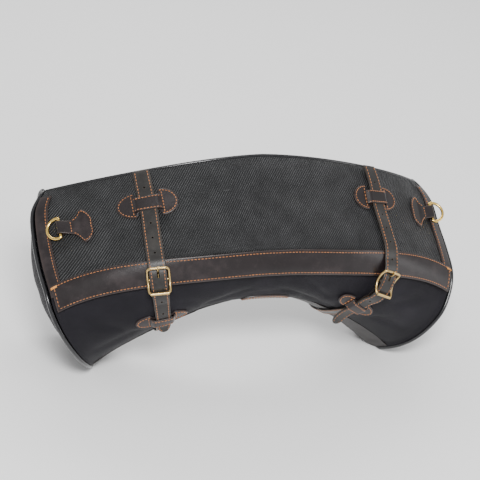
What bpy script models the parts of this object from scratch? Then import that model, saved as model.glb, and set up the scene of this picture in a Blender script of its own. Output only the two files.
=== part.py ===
"""Curved saddle-style pannier bag: fabric body, hinged flap, buckled leather straps.

Metres, +X along the bag, -Y towards the flap and buckles, +Z up. The bag stands on the
flattened bottoms of its two drooping ends, with z = 0 under them and x = 0 on its middle.
"""

import functools
import math

import bmesh
import bpy
import numpy as np
from mathutils import Vector

# ---------------------------------------------------------------- driving dimensions
# The section and the seams are laid out upright; the bag then leans back on its two ends,
# which brings its weight over them.
LEAN = math.radians(27)
SHIFT_Y = -0.0107               # centres the leaning bag on y = 0
SHIFT_Z = -0.0006              # sets the flattened underside of its ends on z = 0

TOP_HALF_X = 0.283          # half length along the top seam
BASE_HALF_X = 0.219         # half length along the bottom
TOP_Z = 0.281               # height of the top seam at the middle
TOP_DROOP = 0.052           # how far the seam's ends lie below its middle
BELLY_Z = 0.093             # height of the underside at the middle
BELLY_DROOP = 0.099         # how far the underside's ends lie below its middle
TOP_Y = -0.105              # the top seam bows forwards by 105 mm at the middle
BASE_Y = -0.095
BASE_SWEEP = 0.080          # the ends of the underside lie this far behind its middle
ARCH_ROUND = 0.10           # rounds the arch of the underside at its middle
SWEEP_CURVE, DROOP_CURVE = 1.42, 1.50   # how late along the bag the underside sweeps and drops
END_CURVE = 4               # how late the ends take their own outline
FRONT_DEPTH = (0.072, 0.092)    # seam plane to the front bulge, at the middle and the ends
BACK_DEPTH = (0.070, 0.060)     # seam plane to the back, at the middle and the ends
END_YAW = 0.038             # the front bulge of an end reaches this much further out

# One section of the bag, from the top seam down the front and up the back: its reach
# towards the front at the middle of the bag, the same at its ends, and its height, in
# shares of the section's depth and half height, then how much further out, in metres, an
# end's outline stands there. The ends are slacker above the bulge.
SECTION = [
    (0.00, 0.00, 1.000, -0.011), (0.28, 0.16, 0.770, 0.008), (0.52, 0.38, 0.460, 0.013),
    (0.80, 0.68, 0.160, 0.011), (0.98, 0.94, -0.100, 0.006), (1.00, 1.00, -0.340, 0.005),
    (0.96, 0.98, -0.600, 0.000), (0.74, 0.76, -0.850, -0.007), (0.35, 0.38, -0.990, -0.010),
    (-0.20, -0.20, -1.020, -0.005), (-0.62, -0.62, -0.920, 0.004), (-0.92, -0.92, -0.600, 0.012),
    (-1.00, -1.00, -0.100, 0.018), (-0.92, -0.92, 0.400, 0.017), (-0.62, -0.62, 0.800, 0.010),
    (-0.25, -0.25, 0.985, -0.003),
]

FABRIC = 0.0022             # body fabric with its lining and foam
BACK_PAD = 0.0035           # the back panel is padded
LEATHER = 0.0016
STRAP = 0.0020
GAP = 0.0003                # left between touching pieces

PIPING_R = 0.0027
TOP_PIPING_R = 0.0022
FRONT_END = 0.985           # share of the half length where the front panel stops
BASE_END = 0.974            # the same for base and back, whose piping the floor flattens
MOUTH_EDGE = 0.050          # from the top seam down the front to the mouth's edge
HINGE_STRIP = 0.014         # width of the fixed strip of flap fabric under the top seam

FLAP_END = 0.984
HEM_END = 0.975
HEM_WIDTH = 0.033
END_STRIP_FROM = 0.938
HEM_OVERLAP = 0.006         # the flap fabric goes on this far under the hem band
DOME = 0.020                # an end cap's bulge

FLAP_AXIS = (-0.022, 0.254)     # y and z of the line the flap swings about, laid out upright

PATCH_DOWN = 0.228          # from the top seam to the middle of the belly patch

STRAP_T = 0.552             # share of the half length where a strap lies
STRAP_WIDTH = 0.020
CHAPE = 0.0015              # thickness of the lower strap
STRAP_LOW = 0.0062          # underside of the strap on the flap, clear of the hem band
CHAPE_TOP = 0.0038          # outer face of the lower strap in the lower keeper
TAIL_LOW = 0.0041           # underside of the strap's tail, on the lower strap
BACK_STRAP_TOP = 0.0025     # outer face of the lower strap where it lies on the bag
UPPER_KEEPER = {"left": 0.051, "right": 0.051}      # from the top seam, along the strap
BUCKLE_DOWN = {"left": 0.1535, "right": 0.1715}     # the buckle's middle bar
KEEPER_BELOW = {"left": 0.067, "right": 0.050}      # lower keeper below that bar
TAIL_PAST_KEEPER = {"left": 0.023, "right": 0.036}
TAIL_LIFT = {"left": 0.006, "right": 0.014}         # the free tip stands off the bag
STRAP_START = {"left": 0.0017, "right": 0.0065}      # sideways place at the top seam
# The strap's lean outwards in degrees at lengths from the top seam.
STRAP_LEANS = {
    "left": [(0.0, -4.0), (0.05, 0.0), (0.08, 5.0), (0.16, 3.0), (0.25, 1.0)],
    "right": [
        (0.0, 2.0), (0.06, 5.0), (0.125, 6.0), (0.152, -5.0), (0.174, -13.0), (0.196, -22.0),
        (0.215, -24.0), (0.240, -20.0), (0.27, 0.0),
    ],
}
LOOP_HALF = 0.0170          # half length of a keeper's loop
LOOP_FLAT = 0.0112          # half of its flat stretch over the strap

BAR_HEIGHT = 0.0097         # buckle bar above the bag's surface, clear of hem and chape
BAR_R = 0.0013
BAR_PLAY = 0.00025          # round the bar
FRAME_R = 0.0017
FRAME_HALF_W = 0.0138       # middle of the frame's wire, 31 mm wide outside
FRAME_HALF_L = 0.0168       # 37 mm tall outside
FRAME_CORNER = 0.0045
FRAME_BOW = 0.0078          # the end bars stand this much further out than the middle bar
TONGUE_R = 0.0010

TAB_T = {"left": 0.895, "right": 0.935}      # place of the D-ring's bar
TAB_DOWN = {"left": 0.066, "right": 0.060}
RING_LIFT = {"left": 0.0, "right": 0.65}     # how far each ring stands off the bag, in radians
D_WIRE_R = 0.0020
D_INNER = 0.0125            # half the D-ring's inner width
FLAP_LAYERS = 0.0020        # top of the flap fabric above the bag's surface

BASE_FROM, BASE_TO = 8.20, 10.40     # places round the section where the base panel lies
SIDES = (("left", -1), ("right", 1))

COLORS = {
    "body_nylon": ((0.018, 0.018, 0.022), 0.85, 0.0),
    "flap_nylon": ((0.030, 0.031, 0.033), 0.55, 0.0),
    "dark_leather": ((0.040, 0.032, 0.030), 0.60, 0.0),
    "strap_leather": ((0.050, 0.047, 0.044), 0.60, 0.0),
    "piping": ((0.012, 0.012, 0.013), 0.25, 0.0),
    "bright_brass": ((0.80, 0.62, 0.25), 0.25, 1.0),
    "antique_brass": ((0.45, 0.34, 0.18), 0.40, 1.0),
}


# ---------------------------------------------------------------- scene housekeeping
for old in list(bpy.data.objects):
    bpy.data.objects.remove(old, do_unlink=True)

parts = bpy.data.collections.new("saddle_pannier_bag")
bpy.context.scene.collection.children.link(parts)
cutters = bpy.data.collections.new("cutters")
bpy.context.scene.collection.children.link(cutters)


def material(name):
    found = bpy.data.materials.get(name)
    if found:
        return found
    color, roughness, metallic = COLORS[name]
    made = bpy.data.materials.new(name)
    made.use_nodes = True
    shader = made.node_tree.nodes["Principled BSDF"]
    shader.inputs["Base Color"].default_value = (*color, 1)
    shader.inputs["Roughness"].default_value = roughness
    shader.inputs["Metallic"].default_value = metallic
    return made


# ---------------------------------------------------------------- the bag's surface
def section_point(w, share):
    """The section's point at w, its place along the SECTION list (a closed Catmull-Rom)."""
    count = len(SECTION)
    first = math.floor(w)
    u = w - first
    a, b, c, d = (np.array(SECTION[(first + k) % count]) for k in (-1, 0, 1, 2))
    cubic = 3 * b - 3 * c + d - a
    point = 0.5 * (2 * b + (c - a) * u + (2 * a - 5 * b + 4 * c - d) * u**2 + cubic * u**3)
    return point[0] + (point[1] - point[0]) * share**2, point[2], point[3] * share**END_CURVE


def leaned(y, z):
    """y and z of an upright point once the bag leans back."""
    back = y * math.cos(LEAN) + z * math.sin(LEAN)
    return back + SHIFT_Y, z * math.cos(LEAN) - y * math.sin(LEAN) + SHIFT_Z


def skin(t, w):
    """A point of the bag's outer surface: t is -1 to 1 along it, w is round the section."""
    share = abs(t)
    top = np.array((TOP_HALF_X * share, TOP_Y + 0.105 * share**2.2, TOP_Z - TOP_DROOP * share**1.6))
    bend = (math.hypot(share, ARCH_ROUND) - ARCH_ROUND) / (math.hypot(1, ARCH_ROUND) - ARCH_ROUND)
    back, droop = BASE_SWEEP * bend**SWEEP_CURVE, BELLY_DROOP * bend**DROOP_CURVE
    base = np.array((BASE_HALF_X * share, BASE_Y + back, BELLY_Z - droop))
    forward, up, further = section_point(w, share)
    depths = FRONT_DEPTH if forward > 0 else BACK_DEPTH
    depth = depths[0] + (depths[1] - depths[0]) * share
    front = np.array((END_YAW * share**1.5 * depth / FRONT_DEPTH[1], -depth, 0.010 * share))
    point = (top + base) / 2 + (top - base) / 2 * up + front * forward
    x = math.copysign(point[0] + further, t) if t else 0.0
    return np.array((x, *leaned(point[1], point[2])))


def on_skin(t, w, out=0.0, floor=0.0):
    """The surface point moved outwards by out, and kept above the floor."""
    step = 0.002
    along = skin(t + step, w) - skin(t - step, w)
    if abs(t) < step:
        along = np.array((1.0, 0.0, 0.0))
    around = skin(t, w + 0.02) - skin(t, w - 0.02)
    normal = np.cross(along, around)
    normal = -normal / np.linalg.norm(normal)
    point = skin(t, w) + normal * out
    point[2] = max(point[2], floor)
    return Vector(point), Vector(normal)


@functools.lru_cache(maxsize=None)
def girth(t):
    """Places round the section at t, and how far each lies from the top seam."""
    ws = np.arange(0, 16.01, 0.1)
    points = np.array([skin(t, w) for w in ws])
    steps = np.linalg.norm(np.diff(points, axis=0), axis=1)
    return ws, np.concatenate([[0], np.cumsum(steps)])


def w_down(t, distance):
    """The w that lies distance down the front from the top seam, measured on the surface."""
    ws, lengths = girth(round(t, 4))
    return float(np.interp(distance, lengths, ws))


def hem_down(t):
    """Distance from the top seam to the upper edge of the flap's hem band."""
    return 0.1366 - 0.022 * t**2 + 0.043 * t**6


# ---------------------------------------------------------------- builders
def add(name, mesh_or_curve, slot):
    made = bpy.data.objects.new(name, mesh_or_curve)
    mesh_or_curve.materials.append(material(slot))
    parts.objects.link(made)
    return made


def slab(name, inner, outer, slot):
    """A closed sheet between two grids of points of the same size."""
    rows, count = len(inner), len(inner[0])
    points = [p for row in inner for p in row] + [p for row in outer for p in row]
    half = rows * count
    faces = []
    for i in range(rows - 1):
        for j in range(count - 1):
            a, b = i * count + j, i * count + j + 1
            c, d = b + count, a + count
            faces.append((a, b, c, d))
            faces.append((half + a, half + d, half + c, half + b))
    rim = [(0, j) for j in range(count)]
    rim += [(i, count - 1) for i in range(1, rows)]
    rim += [(rows - 1, j) for j in range(count - 2, -1, -1)]
    rim += [(i, 0) for i in range(rows - 2, 0, -1)]
    ring = [i * count + j for i, j in rim]
    for a, b in zip(ring, ring[1:] + ring[:1]):
        faces.append((a, half + a, half + b, b))
    mesh = bpy.data.meshes.new(name)
    mesh.from_pydata([tuple(p) for p in points], [], faces)
    face_out(mesh)
    mesh.shade_smooth()
    mesh.set_sharp_from_angle(angle=math.radians(50))
    return add(name, mesh, slot)


def face_out(mesh):
    work = bmesh.new()
    work.from_mesh(mesh)
    bmesh.ops.recalc_face_normals(work, faces=work.faces)
    work.to_mesh(mesh)
    work.free()
    mesh.update()


def spread(low, high, count):
    return [low + (high - low) * k / (count - 1) for k in range(count)]


def skin_slab(name, ts, edges, rows, low, high, slot):
    """A sheet over the bag. edges(t) gives the w of its two edges, low and high its faces."""
    inner, outer = [], []
    for share in spread(0, 1, rows):
        ws = [edges(t)[0] + (edges(t)[1] - edges(t)[0]) * share for t in ts]
        inner.append([on_skin(t, w, low, floor=high - low)[0] for t, w in zip(ts, ws)])
        outer.append([on_skin(t, w, high)[0] for t, w in zip(ts, ws)])
    return slab(name, inner, outer, slot)


def chart(t0, down0, turn=0.0):
    """Local places on the bag: (along, across, out) in metres from a point of its surface.

    along runs down the front when turn is 0; across runs towards +X.
    """
    cos, sin = math.cos(turn), math.sin(turn)
    w0, step = w_down(t0, down0), 0.01
    size = np.linalg.norm(skin(t0 + step, w0) - skin(t0 - step, w0)) / (2 * step)

    def place(along, across, out, floor=0.0):
        down = down0 + along * cos - across * sin
        t = t0 + (along * sin + across * cos) / size
        return on_skin(t, w_down(t, down), out, floor)[0]

    return place


def strip(name, place, path, slot, thickness, columns=3):
    """A strap-like sheet. path holds (along, out, half width, side shift)."""
    inner, outer = [], []
    for k, (along, out, half, shift) in enumerate(path):
        before = path[max(k - 1, 0)]
        after = path[min(k + 1, len(path) - 1)]
        run = Vector((after[0] - before[0], after[1] - before[1])).normalized()
        lift = Vector((-run.y, run.x)) * thickness
        across = [shift + s for s in spread(-half, half, columns)]
        inner.append([place(along, s, out) for s in across])
        outer.append([place(along + lift.x, s, out + lift.y) for s in across])
    return slab(name, inner, outer, slot)


def tube(name, points, radius, slot, closed=False, resolution=2):
    curve = bpy.data.curves.new(name, "CURVE")
    curve.dimensions = "3D"
    curve.bevel_depth = radius
    curve.bevel_resolution = resolution
    curve.use_fill_caps = True
    spline = curve.splines.new("POLY")
    spline.points.add(len(points) - 1)
    for point, place in zip(spline.points, points):
        point.co = (*place, 1)
    spline.use_cyclic_u = closed
    return add(name, curve, slot)


def to_mesh(made):
    """Replaces a curve object by its mesh, so that it can be cut or joined."""
    bpy.context.view_layer.update()
    evaluated = made.evaluated_get(bpy.context.evaluated_depsgraph_get())
    mesh = bpy.data.meshes.new_from_object(evaluated)
    work = bmesh.new()
    work.from_mesh(mesh)
    bmesh.ops.remove_doubles(work, verts=work.verts, dist=0.00001)
    bmesh.ops.recalc_face_normals(work, faces=work.faces)
    work.to_mesh(mesh)
    work.free()
    solid = bpy.data.objects.new("solid", mesh)
    solid.matrix_world = made.matrix_world
    parts.objects.link(solid)
    name = made.name
    bpy.data.objects.remove(made, do_unlink=True)
    solid.name = name
    return solid


def boolean(target, tool, operation):
    cut = target.modifiers.new(operation.lower(), "BOOLEAN")
    cut.operation = operation
    cut.object = tool
    cut.solver = "EXACT"
    for owner in list(tool.users_collection):
        owner.objects.unlink(tool)
    cutters.objects.link(tool)
    tool.hide_render = True
    tool.display_type = "WIRE"


def box_cutter(name, corners):
    """A closed six-sided cutter from two rings of four corners."""
    mesh = bpy.data.meshes.new(name)
    faces = [(0, 1, 2, 3), (4, 7, 6, 5)]
    faces += [(k, k + 4, (k + 1) % 4 + 4, (k + 1) % 4) for k in range(4)]
    mesh.from_pydata([tuple(p) for p in corners], [], faces)
    face_out(mesh)
    made = bpy.data.objects.new(name, mesh)
    cutters.objects.link(made)
    return made


# ---------------------------------------------------------------- body
def body_panels():
    ends = [sign * t for side, sign in SIDES for t in (0.890, 0.932, 0.950, 0.962)]
    front_ts = sorted(spread(-FRONT_END, FRONT_END, 31) + ends)
    ts = sorted(spread(-BASE_END, BASE_END, 31) + ends)
    seam = 0.0025 + GAP

    def front(t):
        return w_down(t, MOUTH_EDGE), BASE_FROM - 0.01

    def base(t):
        return BASE_FROM + 0.01, BASE_TO - 0.01

    def back(t):
        size = np.linalg.norm(skin(t, 15.9) - skin(t, 16.0)) / 0.1
        return BASE_TO + 0.01, 16.0 - seam / size

    skin_slab("front_panel", front_ts, front, 13, -FABRIC, 0.0, "body_nylon")
    skin_slab("base_panel", ts, base, 6, -FABRIC, 0.0, "dark_leather")
    skin_slab("back_panel", ts, back, 10, -BACK_PAD, 0.0, "body_nylon")


def end_caps():
    ws = spread(0, 16, 41)[:-1]
    low = 2 * PIPING_R + GAP
    for side, sign in SIDES:
        edge = [on_skin(sign, w, -PIPING_R - 0.0012, floor=low)[0] for w in ws]
        middle = sum(edge, Vector()) / len(edge)
        out = Vector((sign * 0.90, 0.15, -0.40)).normalized()
        inner, outer = [], []
        for share in (1.0, 0.72, 0.40):
            dome = out * DOME * (1 - share**2)
            ring = [middle + (p - middle) * share + dome for p in edge]
            inner.append(ring)
            outer.append([p + out * FABRIC for p in ring])
        rows = len(inner)
        count = len(ws)
        points = [p for ring in inner for p in ring] + [middle + out * DOME]
        half = len(points)
        points += [p for ring in outer for p in ring] + [middle + out * (DOME + FABRIC)]
        for p in points:
            p.z = max(p.z, low)
        faces = []
        for base in (0, half):
            for i in range(rows - 1):
                for j in range(count):
                    k = (j + 1) % count
                    a, b = base + i * count + j, base + i * count + k
                    faces.append((a, b, b + count, a + count))
            last = base + (rows - 1) * count
            faces += [(last + j, last + (j + 1) % count, base + rows * count) for j in range(count)]
        faces += [(j, (j + 1) % count, half + (j + 1) % count, half + j) for j in range(count)]
        mesh = bpy.data.meshes.new("end_cap_" + side)
        mesh.from_pydata([tuple(p) for p in points], [], faces)
        face_out(mesh)
        mesh.shade_smooth()
        add("end_cap_" + side, mesh, "body_nylon")
        ring = [on_skin(sign, w, 0.0, floor=PIPING_R)[0] for w in ws]
        tube("end_piping_" + side, ring, PIPING_R, "piping", closed=True)


def top_edge():
    ts = spread(-0.976, 0.976, 41)
    seam = [on_skin(t, 0.0, 0.0004)[0] for t in ts]
    tube("top_piping", seam, TOP_PIPING_R, "piping")
    mouth = [on_skin(t, w_down(t, MOUTH_EDGE - 0.0018), -0.0011)[0] for t in ts[1:-1]]
    tube("mouth_binding", mouth, 0.0013, "piping")


# ---------------------------------------------------------------- flap
def flap():
    ts = spread(-FLAP_END, FLAP_END, 33)
    seam = TOP_PIPING_R + 0.0006

    skin_slab(
        "flap_hinge_strip",
        ts,
        lambda t: (w_down(t, seam), w_down(t, HINGE_STRIP)),
        3,
        0.0008,
        FLAP_LAYERS,
        "flap_nylon",
    )
    skin_slab(
        "flap_panel",
        ts,
        lambda t: (w_down(t, HINGE_STRIP + 0.0006), w_down(t, hem_down(t) + HEM_OVERLAP)),
        15,
        0.0008,
        FLAP_LAYERS,
        "flap_nylon",
    )
    low = FLAP_LAYERS + GAP
    for side, sign in SIDES:
        skin_slab(
            "flap_end_strip_" + side,
            sorted(sign * s for s in spread(END_STRIP_FROM, FLAP_END, 4)),
            lambda t: (w_down(t, HINGE_STRIP + 0.0006), w_down(t, hem_down(t) + 0.013)),
            17,
            low,
            low + LEATHER,
            "dark_leather",
        )
    low += LEATHER + GAP
    skin_slab(
        "flap_hem_band",
        spread(-HEM_END, HEM_END, 45),
        lambda t: (w_down(t, hem_down(t)), w_down(t, hem_down(t) + HEM_WIDTH)),
        6,
        low,
        low + LEATHER,
        "dark_leather",
    )


def bow_tie(name, place, half_length, neck, lobe_start, lobe_half, low, slot):
    """Two half-moon lobes joined by a neck, lying flat on the bag."""
    inner, outer = [], []
    for across in spread(-half_length, half_length, 19):
        reach = (abs(across) - lobe_start) / (half_length - lobe_start)
        half = neck if reach < 0 else max(lobe_half * math.sqrt(max(1 - reach**2, 0)), 0.002)
        inner.append([place(along, across, low) for along in spread(-half, half, 4)])
        outer.append([place(along, across, low + LEATHER) for along in spread(-half, half, 4)])
    slab(name, inner, outer, slot)


def loop_band(name, place, half_width, low, high, slot):
    """A leather band that arches over the strap; its two ends are sewn down at low."""
    inner, outer = [], []
    for across in spread(-LOOP_HALF, LOOP_HALF, 15):
        share = min(max((abs(across) - LOOP_FLAT) / (LOOP_HALF - LOOP_FLAT), 0), 1)
        out = low + (high - low) * (1 + math.cos(math.pi * share)) / 2
        places = spread(-half_width, half_width, 3)
        inner.append([place(along, across, out) for along in places])
        outer.append([place(along, across, out + LEATHER) for along in places])
    slab(name, inner, outer, slot)


# ---------------------------------------------------------------- D-rings
# Outline of a D-ring tab: (distance along it from the bar, rise of its underside, half width)
TAB_OUTLINE = [
    (-0.0450, 0.0, 0.0040), (-0.0440, 0.0, 0.0110), (-0.0410, 0.0, 0.0165),
    (-0.0360, 0.0, 0.0215), (-0.0310, 0.0, 0.0240), (-0.0280, 0.0, 0.0225),
    (-0.0235, 0.0010, 0.0155), (-0.0200, 0.0019, 0.0125), (-0.0150, 0.0021, 0.0102),
    (-0.0100, 0.0037, 0.0098), (-0.0055, 0.0064, 0.0098),
]


def d_rings():
    low = FLAP_LAYERS + GAP
    radius = D_WIRE_R + 0.0005
    height = low + 2 * LEATHER + GAP + radius
    reach = D_INNER + D_WIRE_R
    neck = TAB_OUTLINE[-1][2]
    turns = [math.radians(a) for a in spread(110, -90, 10)]
    loop = [(radius * math.cos(a), height + radius * math.sin(a), neck, 0.0) for a in turns]
    loop.append((-0.0060, height - radius, neck, 0.0))
    for side, sign in SIDES:
        place = chart(sign * TAB_T[side], TAB_DOWN[side], sign * math.pi / 2)
        path = [(along, low + rise, half, 0.0) for along, rise, half in TAB_OUTLINE]
        strip("d_ring_tab_" + side, place, path + loop, "dark_leather", LEATHER)
        middle = place(0, 0, height)
        away = (place(0.004, 0, height) - place(-0.004, 0, height)).normalized()
        bar = (place(0, 0.004, height) - place(0, -0.004, height)).normalized()
        away = (away - bar * away.dot(bar)).normalized()
        off = away.cross(bar) * sign
        away = away * math.cos(RING_LIFT[side]) + off * math.sin(RING_LIFT[side])
        ring = [bar * reach * s for s in spread(-0.9, 0.9, 5)]
        for angle in spread(90, -90, 15):
            a = math.radians(angle)
            ring.append(bar * reach * math.sin(a) + away * (0.003 + reach * math.cos(a)))
        made = tube("d_ring_" + side, ring, D_WIRE_R, "bright_brass", closed=True)
        made.location = middle


# ---------------------------------------------------------------- straps
def strap_line(side):
    """The strap's middle line from the top seam down: (length, down, sideways), in metres."""
    down, sideways, line = 0.0, STRAP_START[side], []
    step = 0.002
    for k in range(330):
        length = k * step
        line.append((length, down, sideways))
        lean = strap_lean(side, length)
        down += math.cos(lean) * step
        sideways += math.sin(lean) * step
    return np.array(line)


def strap_lean(side, length):
    """The strap's angle from straight down, positive outwards, in radians."""
    places, leans = zip(*STRAP_LEANS[side])
    return math.radians(float(np.interp(length, places, leans)))


def strap_chart(side, sign, line):
    """Places on one strap: (length down the strap from the top seam, across, out)."""

    def place(length, across, out, floor=0.0):
        down = np.interp(length, line[:, 0], line[:, 1])
        sideways = np.interp(length, line[:, 0], line[:, 2])
        lean = strap_lean(side, length)
        down -= across * math.sin(lean)
        sideways += across * math.cos(lean)
        t = sign * (STRAP_T + sideways / TOP_HALF_X)
        return on_skin(t, w_down(t, down), out, floor)[0]

    return place


def shifted(place, start):
    """The same chart, counted from start along it."""
    return lambda along, across, out, floor=0.0: place(start + along, across, out, floor)


def height_at(table, along):
    """A smooth height between the table's (place, height) rows."""
    places, heights = zip(*table)
    k = max([i for i in range(len(places) - 1) if places[i] <= along] + [0])
    u = min(max((along - places[k]) / (places[k + 1] - places[k]), 0), 1)
    return heights[k] + (heights[k + 1] - heights[k]) * u * u * (3 - 2 * u)


def straps():
    for side, sign in SIDES:
        line = strap_line(side)
        place = strap_chart(side, sign, line)
        bar = BUCKLE_DOWN[side]
        keeper = bar + KEEPER_BELOW[side]
        upper_strap(side, place, bar, keeper)
        lower_strap(side, place, line, bar, keeper)
        buckle(side, place, bar)
        upper = shifted(place, UPPER_KEEPER[side])
        low = FLAP_LAYERS + GAP
        bow_tie("upper_keeper_base_" + side, upper, 0.0360, 0.0100, 0.0150, 0.0180, low, "dark_leather")
        low += LEATHER + GAP
        loop_band("upper_keeper_loop_" + side, upper, 0.0095, low, STRAP_LOW + STRAP + GAP, "dark_leather")
        lower = shifted(place, keeper)
        bow_tie("lower_keeper_base_" + side, lower, 0.0360, 0.0072, 0.0160, 0.0115, GAP, "dark_leather")
        low = 2 * GAP + LEATHER
        loop_band("lower_keeper_loop_" + side, lower, 0.0072, low, TAIL_LOW + STRAP + GAP, "dark_leather")


def upper_strap(side, place, bar, keeper):
    """From the top seam over the flap, through keeper and buckle, to the rounded tip."""
    table = [
        (0.100, STRAP_LOW),
        (bar - 0.034, STRAP_LOW + 0.0008),
        (bar - 0.016, BAR_HEIGHT + 0.0024),
        (bar - 0.006, BAR_HEIGHT + 0.0039),
        (bar + 0.006, BAR_HEIGHT + 0.0039),
        (bar + 0.016, BAR_HEIGHT + 0.0024),
        (bar + 0.036, TAIL_LOW + 0.0004),
        (bar + 0.044, TAIL_LOW),
    ]
    tip = keeper + TAIL_PAST_KEEPER[side]
    path = []
    for along in spread(0.005, tip, 34):
        taper = max(along - (tip - 0.016), 0) / 0.016
        half = STRAP_WIDTH / 2 * math.sqrt(max(1 - 0.9 * taper**2, 0.1))
        free = max(along - keeper - 0.009, 0) / (tip - keeper - 0.009)
        out = height_at(table, along) + TAIL_LIFT[side] * free**2
        path.append((along, out, half, 0.0))
    made = strip("strap_" + side, place, path, "strap_leather", STRAP)
    middle, down, across, out = buckle_axes(place, bar)
    corners = []
    for rise in (0.0010, 0.0100):
        for a, b in ((-0.0050, -1), (-0.0050, 1), (-0.0150, 1), (-0.0150, -1)):
            corners.append(middle + down * a + across * b * 0.0018 + out * rise)
    boolean(made, box_cutter("tongue_slot_cutter_" + side, corners), "DIFFERENCE")


def strap_end(line):
    """Where the lower strap stops, behind the top seam after going all the way round."""
    return float(np.interp(girth(STRAP_T)[1][-1] - 0.030, line[:, 1], line[:, 0]))


def lower_strap(side, place, line, bar, keeper):
    """Round the buckle's middle bar, over the hem, under the belly and up the back."""
    radius = BAR_R + 0.00025
    turns = [math.radians(a) for a in spread(40, 270, 10)]
    path = [(bar + radius * math.cos(a), BAR_HEIGHT + radius * math.sin(a)) for a in turns]
    top = BAR_HEIGHT - radius
    path += [(bar + 0.006, top), (bar + 0.014, top), (bar + 0.022, top - 0.0006)]
    path += [(bar + 0.032, CHAPE_TOP + 0.0004)]
    path += [(along, CHAPE_TOP) for along in spread(bar + 0.038, keeper + 0.014, 6)]
    end = strap_end(line)
    path += [(along, BACK_STRAP_TOP) for along in spread(keeper + 0.028, end, 48)]
    rows = [(along, out, STRAP_WIDTH / 2 - 0.0002, 0.0) for along, out in path]
    made = strip("lower_strap_" + side, place, rows, "strap_leather", -CHAPE)
    middle, down, across, out = buckle_axes(place, bar)
    corners = []
    for rise in (-0.0052, 0.0052):
        for a, b in ((-0.0050, -1), (-0.0050, 1), (0.0046, 1), (0.0046, -1)):
            corners.append(middle + down * a + across * b * 0.0016 + out * rise)
    boolean(made, box_cutter("eye_slot_cutter_" + side, corners), "DIFFERENCE")


def buckle_axes(place, bar):
    """The buckle's middle and its own directions: towards the tip, across and outwards."""
    middle = place(bar, 0, BAR_HEIGHT)
    across = (place(bar, 0.010, BAR_HEIGHT) - place(bar, -0.010, BAR_HEIGHT)).normalized()
    down = (place(bar + 0.012, 0, BAR_HEIGHT) - place(bar - 0.012, 0, BAR_HEIGHT)).normalized()
    down = (down - across * down.dot(across)).normalized()
    out = across.cross(down).normalized()
    if out.y > 0:
        out = -out
    return middle, down, across, out


def frame_outline():
    """The buckle frame's wire, as (towards the tip, across) round a rounded rectangle."""
    long, wide = FRAME_HALF_L - FRAME_CORNER, FRAME_HALF_W - FRAME_CORNER
    outline = []
    for k, (l, w) in enumerate(((1, 1), (-1, 1), (-1, -1), (1, -1))):
        for step in range(4):
            a = math.radians(90 * k + 30 * step)
            outline.append((l * long + FRAME_CORNER * math.cos(a), w * wide + FRAME_CORNER * math.sin(a)))
        if l != w:
            continue
        outline += [(a, w * FRAME_HALF_W) for a in spread(l * long, -l * long, 7)[1:-1]]
    return outline


def buckle(side, place, bar):
    middle, down, across, out = buckle_axes(place, bar)

    def spot(a, b, c):
        return down * a + across * b + out * c

    ring = [spot(a, b, FRAME_BOW * (a / FRAME_HALF_L) ** 2) for a, b in frame_outline()]
    made = tube("buckle_frame_" + side, ring, FRAME_R, "antique_brass", closed=True)
    made.location = middle
    frame = to_mesh(made)
    ends = [spot(0, b, 0) for b in (-FRAME_HALF_W, FRAME_HALF_W)]
    made = tube("middle_bar_" + side, ends, BAR_R, "antique_brass", resolution=3)
    made.location = middle
    boolean(frame, to_mesh(made), "UNION")

    eye = BAR_R + BAR_PLAY + TONGUE_R
    turns = [math.radians(a) for a in spread(-160, 90, 13)]
    path = [(eye * math.cos(a), eye * math.sin(a)) for a in turns]
    over_bar = FRAME_BOW + FRAME_R + TONGUE_R + GAP
    path += [(-0.0040, eye), (-0.0072, eye + 0.0001), (-0.0088, 0.0031), (-0.0110, 0.0057)]
    path += [(-0.0132, 0.0086), (-0.0150, over_bar - 0.0006), (-0.0170, over_bar)]
    path += [(-0.0195, over_bar - 0.0004)]
    made = tube("buckle_tongue_" + side, [spot(a, 0, c) for a, c in path], TONGUE_R, "antique_brass")
    made.location = middle


def belly_patch():
    """A plain leather patch sewn low on the middle of the front."""
    ts = spread(-0.150, 0.150, 9)

    def edges(t):
        half = 0.010 * math.sqrt(max(1 - (t / 0.152) ** 2, 0.02))
        return w_down(t, PATCH_DOWN - half), w_down(t, PATCH_DOWN + half)

    skin_slab("belly_patch", ts, edges, 4, GAP, GAP + LEATHER, "dark_leather")


body_panels()
end_caps()
top_edge()
flap()
d_rings()
straps()
belly_patch()
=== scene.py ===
"""Looks for the curved saddle-style pannier bag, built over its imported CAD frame.

Metres, in the CAD's frame. Lengths along the bag are given as t, a share of its half length,
and lengths down the front are measured on the surface from the top seam.
"""

import functools
import math

import bmesh
import bpy
import numpy as np
from mathutils import Matrix, Vector, noise


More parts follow.
